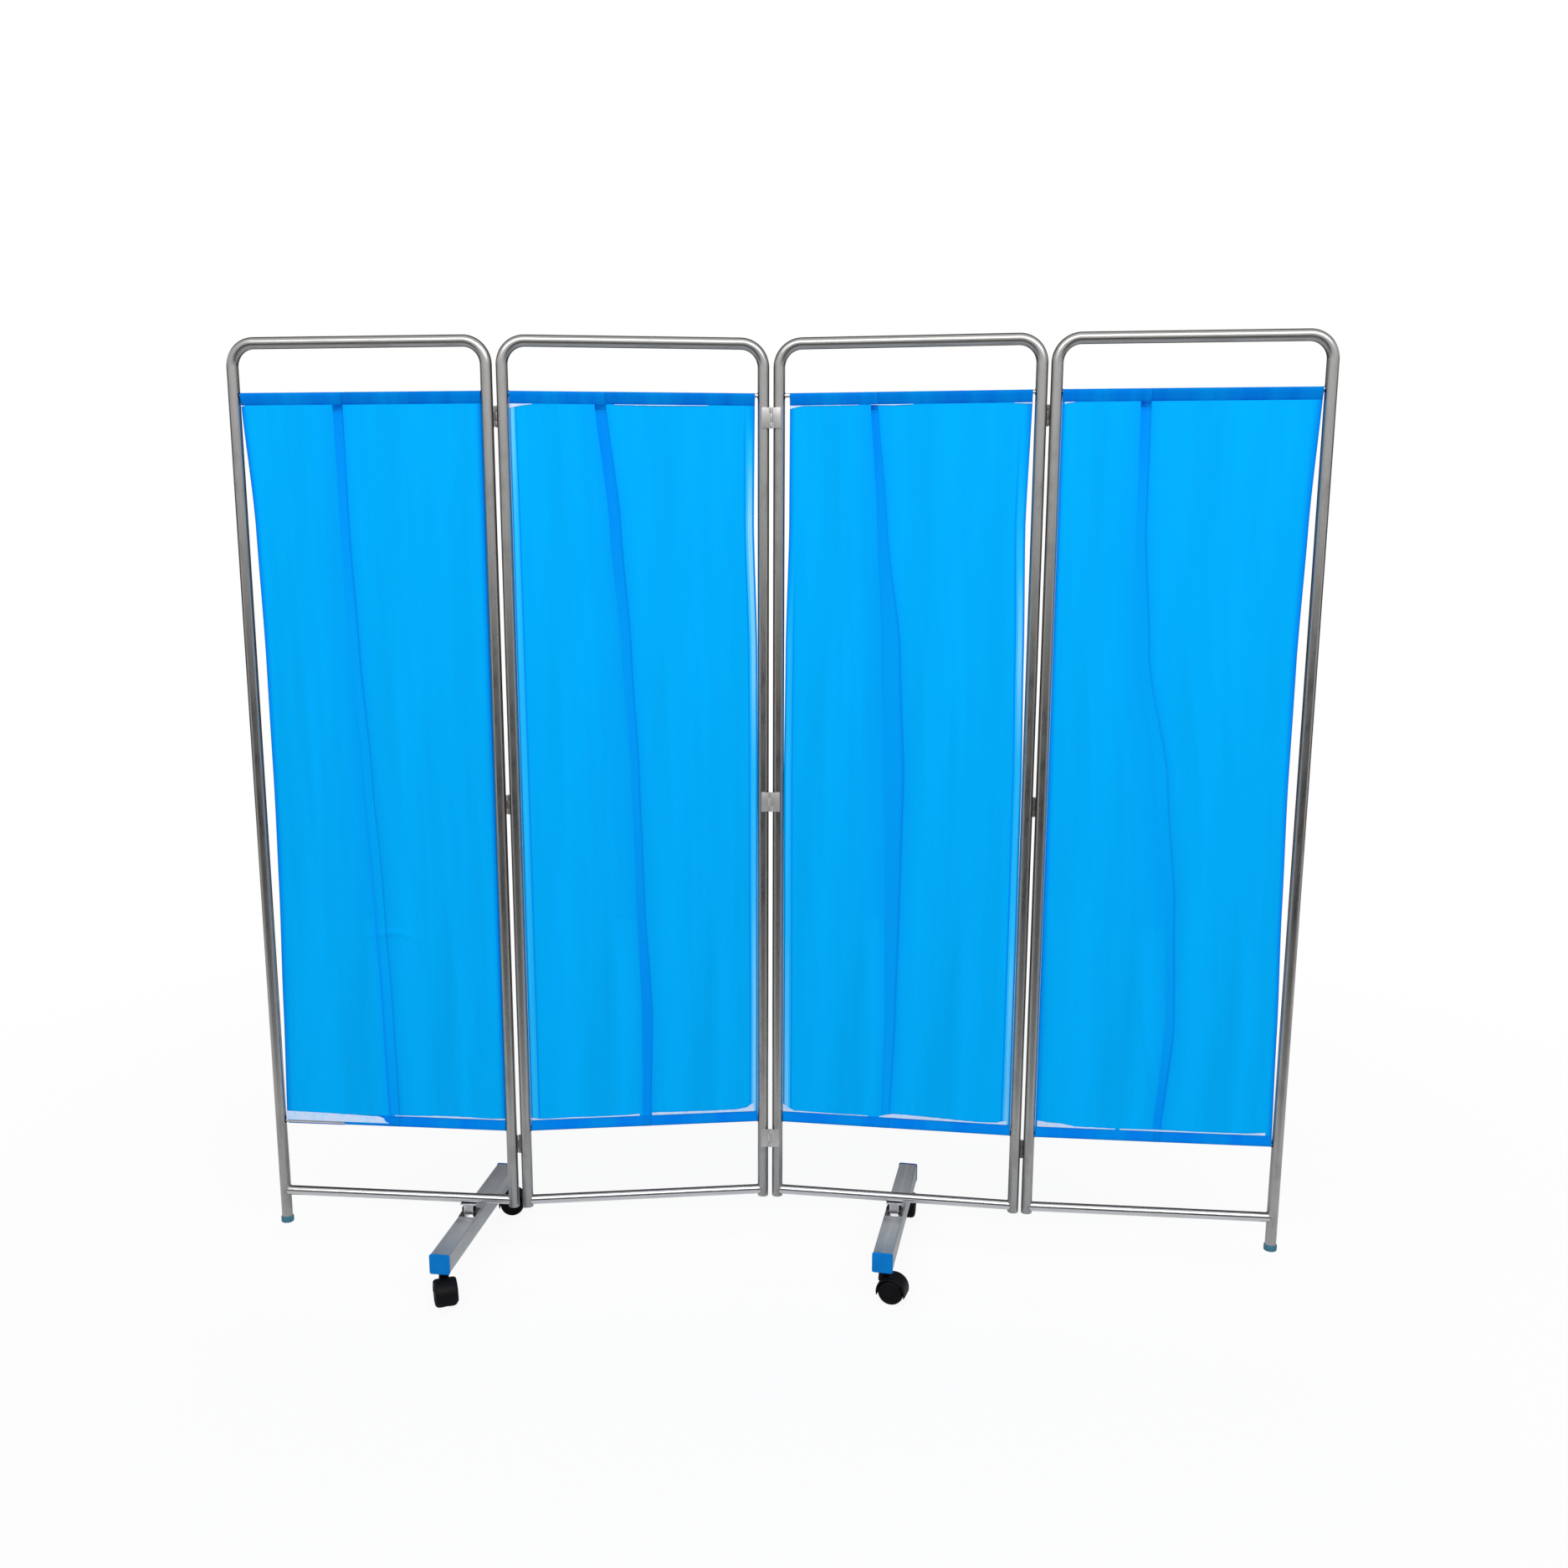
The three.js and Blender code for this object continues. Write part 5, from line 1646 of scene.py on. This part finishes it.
class WARD_OT_stage(bpy.types.Operator):
    """Sets the floor, the white surroundings, the soft lamps, the boards and the camera"""
    bl_idname = "ward.stage"
    bl_label = "Stage"

    def execute(self, context):
        self.floor()
        self.world(context.scene)
        for name, values in lamps.items():
            self.lamp(name, *values)
        for name, values in cards.items():
            self.card(name, *values)
        self.camera(context.scene)
        context.scene.view_settings.view_transform = "Standard"
        return {"FINISHED"}

    def floor(self):
        finish = Finish("pale_floor", floor_grey, 0.9)
        coords = finish.node("ShaderNodeTexCoord").outputs["Object"]
        reach = finish.node("ShaderNodeVectorMath", {0: coords}, operation="LENGTH").outputs["Value"]
        fade = finish.spread(reach, fade_start, fade_end, floor_shade, interpolation_type="SMOOTHSTEP")
        glow = finish.node("ShaderNodeEmission").outputs[0]
        lift = finish.math("MULTIPLY", finish.background_rays(), fade)
        mixed = finish.node("ShaderNodeMixShader", {0: lift, 1: finish.shader.outputs[0], 2: glow})
        finish.feed(finish.tree.nodes["Material Output"].inputs["Surface"], mixed.outputs[0])
        bm = bmesh.new()
        bmesh.ops.create_circle(bm, cap_ends=True, segments=96, radius=floor_radius)
        mesh_object("floor", bm, finish.material)

    def world(self, scene):
        scene.world = bpy.data.worlds.new("white_surroundings")
        scene.world.use_nodes = True
        nodes = Nodes(scene.world.node_tree)
        ground = nodes.tree.nodes["Background"]
        ground.inputs["Color"].default_value = (1, 1, 1, 1)
        seen = nodes.background_rays()
        nodes.feed(ground.inputs["Strength"], nodes.spread(seen, 0.0, 1.0, ambient_light))

    def lamp(self, name, place, aim, size, power):
        data = bpy.data.lights.new(name, "AREA")
        data.shape = "RECTANGLE"
        data.size, data.size_y = size
        data.energy = power
        lamp = add_object(name, data)
        lamp.location = place
        lamp.rotation_euler = (Vector(aim) - Vector(place)).to_track_quat("-Z", "Y").to_euler()

    def card(self, name, size, place, turn_deg, grey):
        """A dark or grey board that only shows in polished metal, as a studio's dark parts do."""
        bm = bmesh.new()
        verts = box(bm, size, (0, 0, 0))
        turn = Matrix.Rotation(math.radians(turn_deg), 4, "Z")
        bmesh.ops.transform(bm, matrix=Matrix.Translation(place) @ turn, verts=verts)
        card = mesh_object(name, bm, Finish(name, (grey, grey, grey), 0.9).material)
        card.visible_camera = False
        card.visible_diffuse = False
        card.visible_shadow = False
        card.visible_transmission = False

    def camera(self, scene):
        data = bpy.data.cameras.new("camera")
        data.sensor_width = camera_sensor
        data.lens = camera_lens
        data.shift_x, data.shift_y = camera_shift
        camera = add_object("camera", data)
        camera.location = camera_place
        turn = Matrix.Rotation(math.radians(camera_yaw_deg), 4, "Z")
        tilt = Matrix.Rotation(math.radians(90 - camera_pitch_deg), 4, "X")
        roll = Matrix.Rotation(math.radians(-camera_roll_deg), 4, "Z")
        camera.rotation_euler = (turn @ tilt @ roll).to_euler()
        scene.camera = camera


# Panel and registration

steps = (
    WARD_OT_stage, WARD_OT_hoops, WARD_OT_rails, WARD_OT_rods, WARD_OT_curtains, WARD_OT_hinges,
    WARD_OT_bars, WARD_OT_brackets, WARD_OT_castors, WARD_OT_feet,
)


class WARD_PT_screen(bpy.types.Panel):
    """Lists the steps that build the screen, and its settings"""
    bl_idname = "WARD_PT_screen"
    bl_label = "Ward screen"
    bl_space_type = "VIEW_3D"
    bl_region_type = "UI"
    bl_category = "Ward screen"

    def draw(self, context):
        for step in steps:
            self.layout.operator(step.bl_idname)
        for group in (sizes_of(context), looks_of(context)):
            column = self.layout.column(align=True)
            for setting in group.__annotations__:
                column.prop(group, setting)


classes = (WardSizes, WardLooks, *steps, WARD_PT_screen)


def register():
    for item in classes:
        bpy.utils.register_class(item)
    bpy.types.Scene.ward_sizes = PointerProperty(type=WardSizes)
    bpy.types.Scene.ward_looks = PointerProperty(type=WardLooks)


def unregister():
    del bpy.types.Scene.ward_looks
    del bpy.types.Scene.ward_sizes
    for item in reversed(classes):
        bpy.utils.unregister_class(item)


def main():
    register()
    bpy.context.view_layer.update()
    for step in steps:
        prefix, name = step.bl_idname.split(".")
        getattr(getattr(bpy.ops, prefix), name)()


if __name__ == "__main__":
    main()
